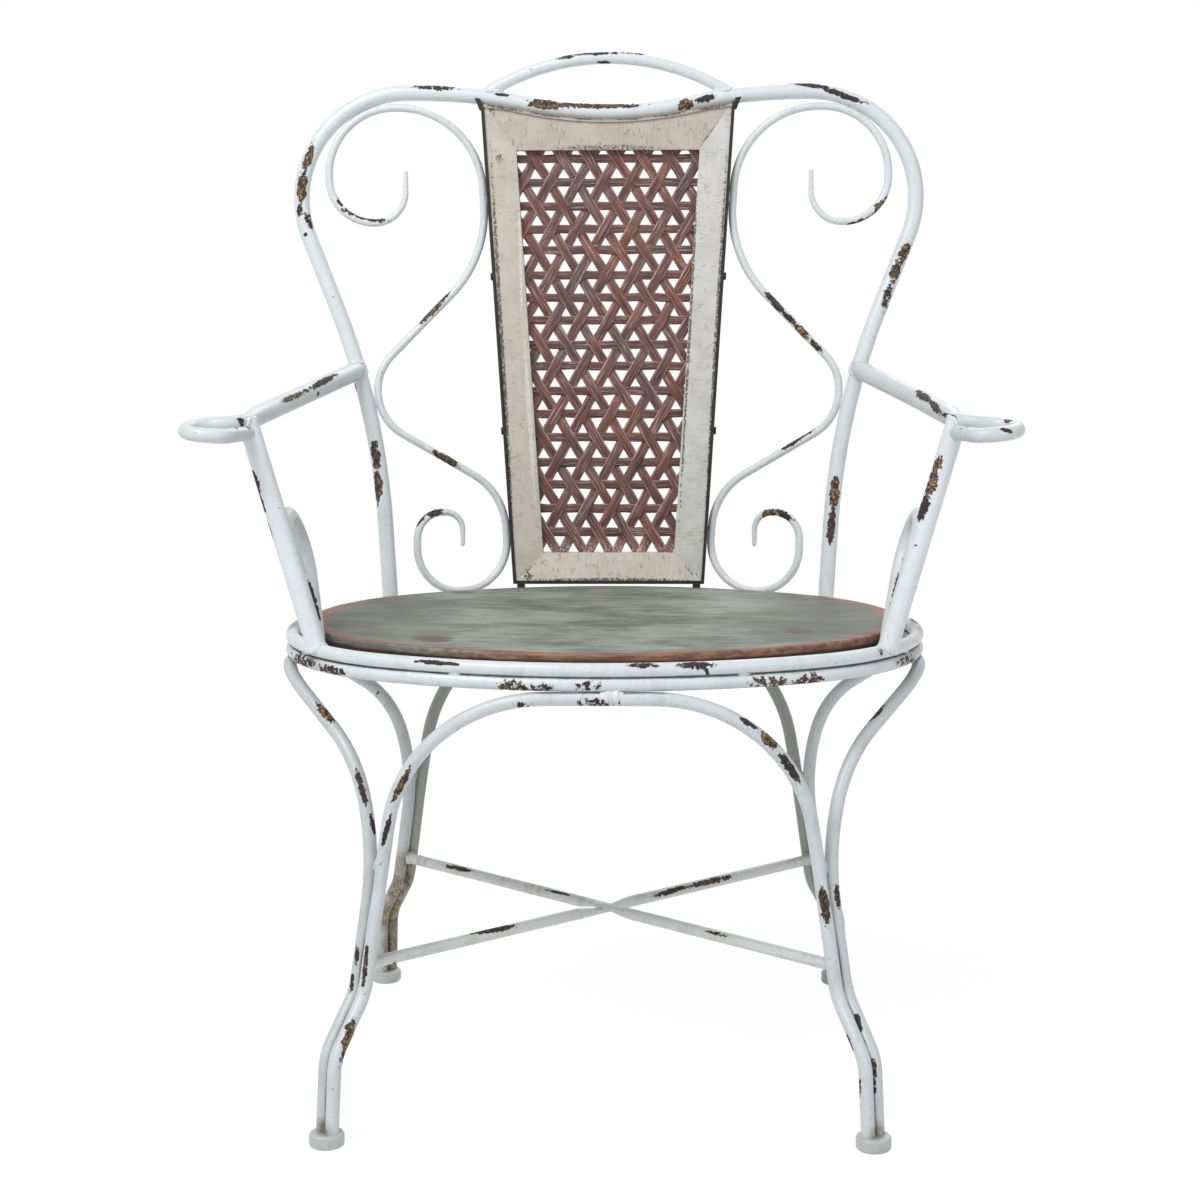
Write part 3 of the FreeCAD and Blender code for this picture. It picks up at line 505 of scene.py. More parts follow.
@dataclass(frozen=True)
class BoardPaint(Finish):
    """Thin green-grey paint dragged along a pine board, rubbed through to red-brown wood at the rim.

    The eye gets long pale and dark streaks, a broken brown line round the top edge, and a few
    brown spots where something stood. low and high are the corners of the board's box.
    """

    low: Vector
    high: Vector
    end_radius: float
    patches: Wears
    damp: Wears

    def rim(self, where: Value) -> Value:
        """Distance in from the edge of the oval, in metres, from the four arcs that make it.

        Args:
            where: Object coordinates.

        Returns:
            The distance, under 0 outside.
        """
        half_width, half_depth = self.high.x, self.high.y
        end_x = half_width - self.end_radius
        side_radius = end_x ** 2 + half_depth ** 2 - self.end_radius ** 2
        side_radius = side_radius / (2 * (half_depth - self.end_radius))
        sink = side_radius - half_depth
        x, y = (calc("ABSOLUTE", where.axis(letter)) for letter in "XY")
        end_depth = self.end_radius - self.reach(x - end_x, y)
        side_depth = side_radius - self.reach(x, y + sink)
        at_end = calc("GREATER_THAN", x * sink, (y + sink) * end_x)
        return side_depth + at_end * (end_depth - side_depth)

    @staticmethod
    def reach(x: Value, y: Value) -> Value:
        """Length of a flat vector."""
        return calc("SQRT", x * x + y * y)

    def draw(self, where: Value) -> None:
        """Adds the nodes, from the coordinates to the surface.

        Args:
            where: Object coordinates.
        """
        drag = noise(where, 14.0, 7.0, 0.76, (3.2, 1.0, 1.0))
        fine = noise(where, 5.0, 4.0, 0.7, (9.0, 1.0, 1.0))
        bloom = noise(where, 30.0, 5.0, 0.7, (2.0, 1.0, 1.0))
        grit = noise(where, 6.0, 5.0, 0.68, (3.0, 1.0, 1.0))
        sideways = calc("ABSOLUTE", where.axis("X"))
        colour = self.streaks(where, drag, fine)
        colour = blend(step(bloom, 0.55, 0.68) * 0.40, colour, "#8C7767")
        # Painted shade: the board darkens towards its two ends, where the arms shade it
        colour = blend(step(sideways, 100.0 * MM, 230.0 * MM) * 0.68, colour, "#4C4F44")
        damp, _ = wear_field(where, self.damp)
        colour = blend(damp * step(bloom, 0.30, 0.50) * 0.5, colour, "#4A4E4E")
        worn, _ = wear_field(where, self.patches)
        spot = step(grit * 1.6 + (worn - 1.3), 0.0, 0.5)
        colour = blend(spot * 0.92, colour, blend(grit, "#32241E", "#5F4538"))
        rub = self.rubbed(where, grit, sideways)
        timber = blend(step(fine, 0.36, 0.64), "#623F30", "#9C6D55")
        colour = blend(rub * 0.94, colour, timber)
        # Painted shadow: the foot of the board's side goes dark where the ring shades the gap below it
        under = step(where.axis("Z"), self.low.z + 7.0 * MM, self.low.z + 4.0 * MM)
        colour = blend(under, colour, "#2A1B15")
        surface(colour, drag * 0.2 + 0.52, rub * -0.5 + drag, 0.3, 0.6)

    @staticmethod
    def streaks(where: Value, drag: Value, fine: Value) -> Value:
        """Colour of the dragged paint: broad clouds, long strokes and fine ones.

        Args:
            where: Object coordinates.
            drag: Noise of the long strokes.
            fine: Noise of the fine ones.

        Returns:
            The colour.
        """
        broad = noise(where, 60.0, 4.0, 0.6, (1.6, 1.0, 1.0))
        colour = blend(step(broad, 0.38, 0.60), "#636B62", "#979F95")
        colour = blend(step(drag, 0.50, 0.68) * 0.65, colour, "#ABAFA2")
        colour = blend(step(drag, 0.48, 0.34) * 0.55, colour, "#565C56")
        colour = blend(step(fine, 0.52, 0.62) * 0.50, colour, "#A3AAA0")
        return blend(step(fine, 0.46, 0.36) * 0.52, colour, "#545C56")

    def rubbed(self, where: Value, grit: Value, sideways: Value) -> Value:
        """Where the paint is rubbed off: the rim, wider at the ends, but for the front left side.

        Args:
            where: Object coordinates.
            grit: Noise of the ragged edge.
            sideways: Distance from the board's middle, to the left or right.

        Returns:
            1 where it has gone, else 0.
        """
        top, height, left = self.high.z, where.axis("Z"), where.axis("X")
        spread = step(sideways, 190.0 * MM, 285.0 * MM) * (10.0 * MM) + (grit * (13.0 * MM) + 1.0 * MM)
        edge = spread - self.rim(where)
        rub = calc("MAXIMUM", step(edge, 0.0, 1.6 * MM), step(height, top - 1.0 * MM, top - 2.4 * MM))
        kept = step(left, -60.0 * MM, -170.0 * MM) * step(left, -292.0 * MM, -276.0 * MM)
        kept = kept * step(height, top - 7.0 * MM, top - 5.0 * MM)
        kept = kept * step(height, top - 0.3 * MM, top - 0.9 * MM)
        return rub * (1.0 - kept)


@dataclass(frozen=True)
class StainedCane(Finish):
    """Split cane stained red-brown and gone grey in places: long fibres, pale torn ones at the edges.

    It reads the strand's own attribute: metres along it, metres across it, and its number. Real
    fibres are about 0.1 mm wide, and these bundles are 1.5 mm, as coarse as they must be to show.
    """

    attribute: str
    strand_width: float
    low: float

    def draw(self, where: Value) -> None:
        """Adds the nodes, from the coordinates to the surface.

        Args:
            where: Object coordinates.
        """
        flow = add_node(where.tree, "ShaderNodeAttribute", out="Vector", attribute_name=self.attribute)
        number = flow.axis("Z")
        tone = add_node(where.tree, "ShaderNodeTexWhiteNoise", {"W": number}, out="Value",
                        noise_dimensions="1D")
        fibre = noise(flow, 1.5, 5.0, 0.72, (22.0, 1.0, 1.0))
        patchy = noise(flow, 7.0, 3.0, 0.6, (5.0, 1.0, 1.0))
        red = tone * 0.5 + (noise(where, 55.0, 3.0, 0.5) * 2.4 - 0.95)
        colour = blend(red, "#5E4A4E", "#86503B")
        colour = blend(step(patchy, 0.42, 0.66) * 0.5, colour, "#66433F")
        row = calc("LESS_THAN", calc("ABSOLUTE", number), STRAND_CODE / 2)
        colour = blend(row * 0.4, colour, "#4E3431")
        colour = blend(step(fibre, 0.49, 0.37) * 0.9, colour, "#261819")
        silver = step(patchy, 0.54, 0.40) * 0.5 + 0.35
        colour = blend(step(fibre, 0.53, 0.63) * silver, colour, "#C4A99F")
        side = calc("ABSOLUTE", flow.axis("Y")) / (self.strand_width / 2)
        split = step(noise(flow, 1.1, 3.0, 0.6, (14.0, 1.0, 1.0)), 0.44, 0.58)
        colour = blend(step(side, 0.66, 0.92) * split * 0.75, colour, "#C9AEA2")
        tuft = step(where.axis("Z"), self.low + 22.0 * MM, self.low + 8.0 * MM)
        frayed = tuft * step(noise(where, 2.2, 4.0, 0.7), 0.50, 0.60)
        colour = blend(frayed * 0.8, colour, "#CFC2BC")
        surface(colour, fibre * 0.3 + 0.38, fibre, 0.3, 1.0)


# Geometry node trees

def node_group(name: str, values: dict) -> tuple[bpy.types.NodeTree, dict[str, Value]]:
    """A geometry node tree with its geometry and one named input for each value.

    Args:
        name: The tree's name.
        values: Input name to the value that it will be run with.

    Returns:
        The tree, and its inputs by name.
    """
    kinds = {int: "Int", float: "Float", Vector: "Vector", bpy.types.Material: "Material"}
    tree = bpy.data.node_groups.new(name, "GeometryNodeTree")
    for way in ("INPUT", "OUTPUT"):
        tree.interface.new_socket("Geometry", in_out=way, socket_type="NodeSocketGeometry")
    for label, value in values.items():
        tree.interface.new_socket(label, in_out="INPUT", socket_type="NodeSocket" + kinds[type(value)])
    outputs = tree.nodes.new("NodeGroupInput").outputs
    return tree, {label: Value(tree, outputs[label]) for label in ("Geometry", *values)}


def finish_group(geometry: Value, material: Value) -> None:
    """Ends a geometry tree in Realize Instances, smooth shading and Set Material.

    Args:
        geometry: What the tree has made.
        material: The material that it gets.
    """
    tree = geometry.tree
    real = add_node(tree, "GeometryNodeRealizeInstances", {"Geometry": geometry})
    smooth = add_node(tree, "GeometryNodeSetShadeSmooth", {"Geometry": real})
    dressed = add_node(tree, "GeometryNodeSetMaterial", {"Geometry": smooth, "Material": material})
    add_node(tree, "NodeGroupOutput", {"Geometry": dressed})


def grown(name: str, mesh: bpy.types.Mesh, tree: bpy.types.NodeTree, values: dict) -> bpy.types.Object:
    """Runs a geometry node tree on a mesh and keeps the result as a plain mesh object.

    Args:
        name: The new object's name.
        mesh: What the tree starts from.
        tree: The geometry node tree.
        values: Input name to value.

    Returns:
        An object at the origin with no modifier.
    """
    carrier = bpy.data.objects.new(name, mesh)
    bpy.context.scene.collection.objects.link(carrier)
    modifier = carrier.modifiers.new("grow", "NODES")
    modifier.node_group = tree
    for item in tree.interface.items_tree:
        if item.name in values:
            modifier[item.identifier] = values[item.name]
    seen = carrier.evaluated_get(bpy.context.evaluated_depsgraph_get())
    carrier.data = bpy.data.meshes.new_from_object(seen)
    carrier.data.name = name
    carrier.modifiers.clear()
    return carrier


@dataclass
class Welds:
    """Hand-laid weld beads that follow the seams between pieces, painted over with them.

    Lengths are in mm. Corners within seam_reach of another piece belong to a seam, those within
    seam_span of each other to one end, and a seam has up to seam_points points round it.
    """

    name: str
    slot: Slot
    finish: ChippedEnamel
    bead_radius: float = 1.9
    ripple: float = 0.55
    bead_step: float = 0.9
    seam_reach: float = 0.45
    seam_span: float = 14.0
    seam_points: int = 20
    lines: list[tuple[list[Vector], bool]] = field(default_factory=list)

    @staticmethod
    def search(node: str) -> tuple[list[Vector], BVHTree]:
        """Corner points and a search tree of a CAD node.

        Args:
            node: The node's name.

        Returns:
            The corners and the tree.
        """
        mesh = cad_nodes[node].data
        corners = [v.co.copy() for v in mesh.vertices]
        return corners, BVHTree.FromPolygons(corners, [tuple(p.vertices) for p in mesh.polygons])

    def seam(self, branch: str, *trunks: str) -> None:
        """Lays a closed bead round each end of branch that meets a trunk.

        Args:
            branch: The node whose cut ends are welded.
            trunks: The nodes that it is welded to.
        """
        corners, _ = self.search(branch)
        others = [self.search(trunk)[1] for trunk in trunks]
        near = self.seam_reach * MM
        touching = [c for c in corners if any(t.find_nearest(c, near)[0] is not None for t in others)]
        while touching:
            first = touching[0]
            self.ring([c for c in touching if (c - first).length < self.seam_span * MM])
            touching = [c for c in touching if (c - first).length >= self.seam_span * MM]

    def ring(self, group: list[Vector]) -> None:
        """Turns the corners round one cut end into a closed line, the outermost in each direction.

        Args:
            group: The corners.
        """
        middle = sum(group, Vector()) / len(group)
        spread = Matrix(((0,) * 3,) * 3)
        for corner in group:
            away = corner - middle
            spread += Matrix([[away[i] * away[j] for j in range(3)] for i in range(3)])
        axis = self.thin_axis(spread)
        side = axis.orthogonal().normalized()
        up = axis.cross(side)
        sectors: dict[int, Vector] = {}
        for corner in group:
            away = corner - middle
            turn = math.atan2(away.dot(up), away.dot(side))
            sector = int((turn / math.tau + 0.5) * self.seam_points) % self.seam_points
            if sector not in sectors or away.length > (sectors[sector] - middle).length:
                sectors[sector] = corner
        if len(sectors) > self.seam_points / 3:
            self.lines.append(([sectors[s] for s in sorted(sectors)], True))

    @staticmethod
    def thin_axis(spread: Matrix) -> Vector:
        """The direction in which a cloud of points is thinnest, from its spread matrix.

        Args:
            spread: Sum of the outer products of the points.

        Returns:
            A direction of length 1.
        """
        largest = max(spread[i][i] for i in range(3)) * 3 or 1.0
        rest = Matrix.Identity(3) * largest - spread
        axis = Vector((0.31, 0.57, 0.76))
        for _ in range(60):
            axis = (rest @ axis).normalized()
        return axis

    def tack(self, first: str, second: str, near: Point, run: Point, half: float = 5.0) -> None:
        """Lays a short bead where two pieces lie against each other.

        Args:
            first: One node.
            second: The other node.
            near: A point by the contact, in mm.
            run: The way the two pieces run there.
            half: Half the bead's length, in mm.
        """
        one, two = (self.search(node)[1] for node in (first, second))
        stride = Vector(run).normalized() * half * MM / 2
        line = []
        for count in range(-2, 3):
            spot = Vector(near) * MM + stride * count
            for _ in range(6):
                spot = (one.find_nearest(spot)[0] + two.find_nearest(spot)[0]) / 2
            line.append(spot)
        self.lines.append((line, False))

    @staticmethod
    def tree(values: dict) -> bpy.types.NodeTree:
        """The geometry tree: lines to rippled beads, those with two ends drawn to a taper.

        Args:
            values: What the tree will be run with.

        Returns:
            The tree.
        """
        tree, given = node_group("weld_bead", values)
        curve = add_node(tree, "GeometryNodeMeshToCurve", {"Mesh": given["Geometry"]})
        curve = add_node(tree, "GeometryNodeCurveSplineType", {"Curve": curve}, spline_type="CATMULL_ROM")
        curve = add_node(tree, "GeometryNodeResampleCurve", {"Curve": curve, "Length": given["Step"]},
                         mode="LENGTH")
        factor = add_node(tree, "GeometryNodeSplineParameter", out="Factor")
        closed = add_node(tree, "GeometryNodeInputSplineCyclic")
        # An open bead is a full 1.0 thick in its middle and 0.15 at its tips
        dome = calc("SQRT", factor * (1.0 - factor))
        taper = calc("MAXIMUM", closed, dome * 1.7 + 0.15)
        lump = noise(add_node(tree, "GeometryNodeInputPosition"), 2.6, 1.0, 0.5) * 2.0 - 1.0
        girth = taper * (lump * given["Ripple"] + 1.0)
        section = add_node(tree, "GeometryNodeCurvePrimitiveCircle",
                           {"Resolution": 10, "Radius": given["Radius"]})
        bead = add_node(tree, "GeometryNodeCurveToMesh",
                        {"Curve": curve, "Profile Curve": section, "Scale": girth, "Fill Caps": True})
        finish_group(bead, given["Material"])
        return tree

    def build(self) -> bpy.types.Object:
        """Makes the beads, rides them on the chair and gives them back.

        Returns:
            The beads, one object.
        """
        points, edges = [], []
        for line, closed in self.lines:
            start = len(points)
            points += line
            edges += [(start + i, start + i + 1) for i in range(len(line) - 1)]
            if closed:
                edges.append((len(points) - 1, start))
        mesh = bpy.data.meshes.new(self.name)
        mesh.from_pydata(points, edges, [])
        values = {"Radius": self.bead_radius * MM, "Ripple": self.ripple, "Step": self.bead_step * MM,
                  "Material": self.finish.build()}
        piece = grown(self.name, mesh, self.tree(values), values)
        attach(piece, BODY)
        log.info("%s: %d beads, %d faces", self.name, len(self.lines), len(piece.data.polygons))
        return piece


# Sub-assemblies

def dress(node: str, material: bpy.types.Material) -> None:
    """Gives a CAD node its finish.

    Args:
        node: The node's name.
        material: Its material.
    """
    for slot in cad_nodes[node].material_slots:
        slot.material = material
    log.info("%s: dressed in %s", node, material.name)


@dataclass
class Back:
    """The hoop, its crest bar and the two long scrolls."""

    hoop_wear: Wears = (
        Wear((-200, 225, 960), (-155, 223, 959), 5.0),
        Wear((-312, 200, 811), (-311, 200, 808), 3.0),
        Wear((-115, 223, 951), (-102, 223, 950), 2.6),
        Wear((-304, 214, 900), (-313, 210, 875), 5.5, 0.6),
        Wear((-313, 210, 877), (-317, 205, 842), 6.5, 1.0),
        Wear((-317, 205, 844), (-318, 204, 826), 4.0, cover=0.7),
        Wear((-80, 221, 942), (-46, 220, 940), 7.0, 0.7),
        Wear((-56, 221, 940), (34, 221, 940), 5.6, 0.35),
        Wear((73, 221, 938), (88, 221, 941), 7.0, 1.0),
        Wear((90, 221, 943), (110, 222, 948), 5.0),
        Wear((185, 230, 961), (228, 223, 955), 4.5),
        Wear((210, 225, 959), (265, 220, 940), 3.8),
        Wear((308, 199, 798), (297, 195, 777), 7.0, 1.0, 0.88),
        Wear((297, 195, 779), (291, 192, 758), 6.5, 0.7, 0.8),
        Wear((291, 192, 758), (281, 188, 729), 5.5, 0.1, 0.72),
        Wear((-241, 167, 600), (-237, 162, 570), 6.5, 0.4),
        Wear((-237, 162, 570), (-237, 159, 537), 6.5, 0.8),
        Wear((234, 160, 561), (231, 155, 529), 6.5, 1.0),
        Wear((231, 155, 529), (227, 150, 495), 5.5, 0.2),
        Wear((-262, 181, 658), (-259, 181, 650), 3.0),
    )
    crest_wear: Wears = (
        Wear((-52, 232, 986), (-33, 232, 990), 3.4, 0.3),
        Wear((-35, 232, 991), (48, 234, 991), 3.0),
        Wear((-11, 232, 983), (1, 232, 983), 3.0),
    )
    scroll_wear: dict[str, Wears] = field(default_factory=lambda: {
        "left": (
            Wear((-278, 214, 845), (-274, 212, 838), 4.5),
            Wear((-273, 211, 836), (-232, 211, 823), 6.5, 0.8),
            Wear((-196, 197, 717), (-165, 207, 750), 5.0, 0.7),
            Wear((-182, 188, 587), (-156, 194, 570), 5.5, 0.4),
            Wear((-199, 172, 509), (-190, 176, 521), 4.5),
            Wear((-190, 176, 521), (-173, 180, 525), 5.0, 0.3),
        ),
        "right": (
            Wear((246, 213, 817), (268, 214, 824), 5.0, 0.4),
            Wear((268, 214, 824), (287, 215, 845), 6.5, 1.0),
            Wear((164, 206, 748), (180, 201, 729), 5.5, 0.3),
            Wear((180, 201, 729), (194, 197, 715), 4.2),
            Wear((192, 198, 717), (206, 194, 702), 5.5, 1.0),
            Wear((206, 194, 702), (221, 190, 688), 4.0, 0.1, 0.85),
            Wear((177, 190, 586), (215, 183, 612), 4.2),
            Wear((160, 184, 520), (174, 179, 525), 5.5, 0.8),
            Wear((174, 179, 525), (189, 172, 518), 5.5),
        ),
    })

    def build(self) -> None:
        """Dresses the back and lays its welds."""
        hoop = ChippedEnamel("hoop_enamel", dirt=0.3, patches=self.hoop_wear)
        dress("back_hoop", hoop.build())
        dress("crest_bar", ChippedEnamel("crest_enamel", dirt=0.3, patches=self.crest_wear).build())
        for side, wear in self.scroll_wear.items():
            scroll = ChippedEnamel(f"scroll_enamel_{side}", coat="#DEE5E7", dirt=0.4, patches=wear)
            dress(f"scroll_back_{side}", scroll.build())
        welds = Welds("welds_back", Slot.FRAME, ChippedEnamel("bead_enamel", dirt=0.5))
        welds.seam("crest_bar", "back_hoop")
        welds.seam("back_hoop", "seat_ring_upper")
        for side, sign in SIDES.items():
            scroll = f"scroll_back_{side}"
            welds.tack(scroll, "back_hoop", (sign * 253, 228, 934), (1, 0, 0))
            welds.tack(scroll, "back_hoop", (sign * 240, 182, 637), (0, 0.1, 1))
            welds.tack(scroll, "seat_ring_upper", (sign * 152, 182, 438), (1, -sign * 0.4, 0), 6)
            welds.tack(scroll, f"splat_strip_{side}", (sign * 125, 222, 847), (0, 0.15, 1), 7)
            welds.tack(scroll, f"splat_strip_{side}", (sign * 104, 206, 499), (0, 0.15, 1), 7)
        welds.build()


@dataclass
class Splat:
    """The wooden frame in its iron strips, and the three-way weave in the frame.

    Lengths are in mm. Rows lie a pitch apart, first_row under the top, and bow upwards. Leaning
    strands stand a shift off the crossings, with a slope that is off by drift. Each strand lies up
    to a stray off by chance, and crispness is how suddenly it goes from over to under.
    """

    strand: float = 9.7
    thickness: float = 0.8
    lift: float = 0.9
    pitch: float = 24.2
    first_row: float = 15.0
    lean: float = math.radians(30)
    stations: int = 96
    lanes: int = 5
    stray: float = 1.3
    shift: float = 9.0
    drift: float = 0.0216
    bow: float = 4.5
    crispness: float = 1.8
    least_length: float = 0.5
    attribute: str = "strand_flow"
    seed: int = 7
    hoop_line: tuple[Point, ...] = (
        (-127, 216, 940), (-84, 215, 933), (-43, 215, 927), (0, 215, 925), (43, 215, 927), (84, 215, 933),
        (127, 216, 940))
    battens: dict[str, CrackedPaint] = field(default_factory=lambda: {
        "splat_rail_top": CrackedPaint(
            "head_rail_paint", "#CAC0B4", Grain.ACROSS, "#A99D90", 0.6, dirt=(
            Wear((-68, 215, 896), (70, 215, 896), 5.5, cover=0.8),
            Wear((94, 216, 897), (124, 217, 933), 2.2),
            Wear((-118, 217, 930), (-122, 217, 936), 7.0),
        )),
        "splat_rail_bottom": CrackedPaint(
            "foot_rail_paint", "#E6DED3", Grain.ACROSS, "#C4BBAE", 0.6, dirt=(
            Wear((-94, 196, 450), (94, 196, 450), 3.5),
            Wear((-91, 196, 452), (-69, 201, 479), 2.4),
            Wear((91, 196, 452), (69, 201, 479), 2.4),
            Wear((-88, 196, 452), (-80, 196, 456), 6.0),
        )),
        "splat_stile_left": CrackedPaint(
            "stile_paint_left", "#D2CBBF", Grain.UPRIGHT, "#AFA79A", 0.35, dirt=(
            Wear((-122, 217, 925), (-98, 197, 455), 3.2),
            Wear((-112, 216, 889), (-112, 215, 883), 6.0),
            Wear((-97, 197, 450), (-70, 200, 480), 2.4),
            Wear((-92, 213, 893), (-90, 208, 800), 2.4),
        ), rubbed=(
            Wear((-92, 214, 850), (-89, 208, 711), 2.4, cover=0.8),
            Wear((-88, 208, 720), (-76, 200, 520), 3.4, cover=0.85),
        )),
        "splat_stile_right": CrackedPaint(
            "stile_paint_right", "#DBDAD7", Grain.UPRIGHT, "#B2B0AB", 0.35, dirt=(
            Wear((124, 217, 924), (98, 197, 455), 2.8),
            Wear((97, 197, 450), (72, 200, 480), 2.4),
            Wear((94, 216, 890), (73, 198, 492), 2.2),
        )),
    })

    def build(self) -> None:
        """Dresses the frame and weaves the cane."""
        for node, paint in self.battens.items():
            dress(node, paint.build())
        # The head rail's paint runs up over the strip between rail and hoop, with a painted shadow line along
        # the hoop
        line = tuple(Wear(a, b, 2.5) for a, b in zip(self.hoop_line, self.hoop_line[1:]))
        strip = CrackedPaint("painted_over_strip", "#BDB3A7", Grain.ACROSS, "#A99D90", 0.4, dirt=line)
        dress("splat_strip_top", strip.build())
        iron = BareIron("bare_strip_iron").build()
        for node in ("splat_strip_left", "splat_strip_right", "splat_strip_bottom",
                     "splat_tabs_lower", "splat_tabs_upper", "splat_screws"):
            dress(node, iron)
        self.weave()

    def weave(self) -> bpy.types.Object:
        """Weaves the cane in the place of its plain panel.

        Returns:
            The weave, one object.
        """
        panel = cad_nodes["cane_panel"].data
        front = max(panel.polygons, key=lambda p: -p.normal.y * p.area).normal.copy()
        front = Vector((0.0, front.y, front.z)).normalized()
        up = Vector((0.0, front.z, -front.y))
        heights = [v.co.dot(up) for v in panel.vertices]
        depths = [v.co.dot(front) for v in panel.vertices]
        tall = max(heights) - min(heights)
        foot = max(v.co.x for v in panel.vertices if v.co.dot(up) < min(heights) + 2 * MM)
        head = max(v.co.x for v in panel.vertices if v.co.dot(up) > max(heights) - 2 * MM)
        origin = up * min(heights) + front * (min(depths) + max(depths)) / 2
        flare = (head - foot) / tall
        first = tall - self.first_row * MM
        rows = int(first / (self.pitch * MM)) + 1
        right, left = (self.leaning(kind, foot, flare, tall, first) for kind in (1, -1))
        low = min(v.co.z for v in panel.vertices)
        values = {
            "Rows": rows, "Right Count": len(right), "Right First": right[0],
            "Left Count": len(left), "Left First": left[0],
            "Stations": self.stations, "Lanes": self.lanes,
            "Foot Half": foot, "Flare": flare, "Tall": tall, "First Row": first,
            "Pitch": self.pitch * MM, "Slope": math.tan(self.lean), "Strand": self.strand * MM,
            "Shift": self.shift * MM, "Drift": self.drift,
            "Bow": self.bow * MM, "Span": (rows - 1) * self.pitch * MM,
            "Thickness": self.thickness * MM, "Lift": self.lift * MM,
            "Stray": self.stray * MM, "Seed": self.seed,
            "Tilt": math.atan2(up.z, up.y), "Origin": origin,
            "Material": StainedCane("stained_cane", self.attribute, self.strand * MM, low).build(),
        }
        piece = grown("cane_weave", bpy.data.meshes.new("cane_weave"), self.tree(values), values)
        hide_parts("cane_panel")
        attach(piece, BODY)
        log.info("%s: %d faces", piece.name, len(piece.data.polygons))
        return piece

    def leaning(self, kind: int, foot: float, flare: float, tall: float, first: float) -> range:
        """The strands of one leaning set that cross the opening for more than their own width.

        Args:
            kind: 1 for those that lean right going up, -1 for left.
            foot: Half the panel's width at its foot.
            flare: How fast the half width grows going up.
            tall: The panel's height.
            first: Height of the top row.

        Returns:
            The strands' numbers, 0 being the one nearest the middle at the top row.
        """
        slope = math.tan(self.lean)
        own = slope - kind * self.drift
        shown = []
        for number in range(-20, 21):
            start = number * 2 * slope * self.pitch * MM + kind * self.shift * MM - own * first
            top = min(tall, (foot - start) / (own - flare))
            bottom = max(0.0, -(foot + start) / (own + flare))
            if top - bottom > 1.2 * self.strand * MM:
                shown.append(number)
        return range(shown[0], shown[-1] + 1)

    def tree(self, values: dict) -> bpy.types.NodeTree:
        """The geometry tree of the weave: flat ribbons, then bent into rows and two leaning sets.

        Args:
            values: What the tree will be run with.

        Returns:
            The tree.
        """
        tree, given = node_group("three_way_weave", values)
        index = add_node(tree, "GeometryNodeInputIndex")
        joined = tree.nodes.new("GeometryNodeJoinGeometry")
        sets = ((-1, given["Left Count"], given["Left First"]),
                (1, given["Right Count"], given["Right First"]), (0, given["Rows"], 0))
        for kind, count, start in sets:
            line = add_node(tree, "GeometryNodeMeshLine", {"Count": count, "Offset": (0, 0, 0)})
            for label, value in (("kind", kind), ("number", index + start)):
                line = add_node(tree, "GeometryNodeStoreNamedAttribute",
                                {"Geometry": line, "Name": label, "Value": value}, data_type="FLOAT")
            tree.links.new(line.socket, joined.inputs[0])
        points = Value(tree, joined.outputs[0])
        ribbon = add_node(tree, "GeometryNodeMeshCube",
                          {"Size": (1, 1, 1), "Vertices X": given["Stations"],
                           "Vertices Y": given["Lanes"], "Vertices Z": 2})
        strands = add_node(tree, "GeometryNodeInstanceOnPoints", {"Points": points, "Instance": ribbon})
        strands = add_node(tree, "GeometryNodeRealizeInstances", {"Geometry": strands})
        place, flow = self.bend(tree, given)
        strands = add_node(tree, "GeometryNodeStoreNamedAttribute",
                           {"Geometry": strands, "Name": self.attribute, "Value": flow},
                           data_type="FLOAT_VECTOR")
        strands = add_node(tree, "GeometryNodeSetPosition", {"Geometry": strands, "Position": place})
        turn = add_node(tree, "ShaderNodeCombineXYZ", {"X": given["Tilt"]})
        strands = add_node(tree, "GeometryNodeTransform",
                           {"Geometry": strands, "Translation": given["Origin"], "Rotation": turn})
        finish_group(strands, given["Material"])
        return tree

    def bend(self, tree: bpy.types.NodeTree, given: dict[str, Value]) -> tuple[Value, Value]:
        """Where each corner of the flat ribbons goes, and its place along and across its strand.

        Args:
            tree: The geometry tree.
            given: The tree's inputs.

        Returns:
            The position in the plane of the splat, and the flow: along, across and strand number.
        """
        kind, number = (add_node(tree, "GeometryNodeInputNamedAttribute", {"Name": label}, data_type="FLOAT")
                        for label in ("kind", "number"))
        unit = add_node(tree, "GeometryNodeInputPosition")
        along, across, through = unit.axis("X") + 0.5, unit.axis("Y"), unit.axis("Z")
        leaning = calc("ABSOLUTE", kind)
        strand = kind * STRAND_CODE + number
        offset = self.offset(given, along, strand)
        # Rows are 0.78 to 1.08 of the strand's width, leaning strands a little more
        girth = self.unevenness(along, strand, times=9.0, apart=5.3, layer=4.0) * 0.3
        girth = girth + (leaning * 0.13 + 0.78)
        aside = across * (given["Strand"] * girth)
        # Across runs from -0.5 to 0.5, so the edges have 0.6 of the thickness
        body = through * given["Thickness"] * (across * across * -1.6 + 1.0)

        row_v = given["First Row"] - number * given["Pitch"] + offset
        row_u = (along * 2.0 - 1.0) * (row_v * given["Flare"] + given["Foot Half"])
        row_place = add_node(tree, "ShaderNodeCombineXYZ",
                             {"X": row_u, "Y": self.bowed(given, row_v + aside), "Z": body})

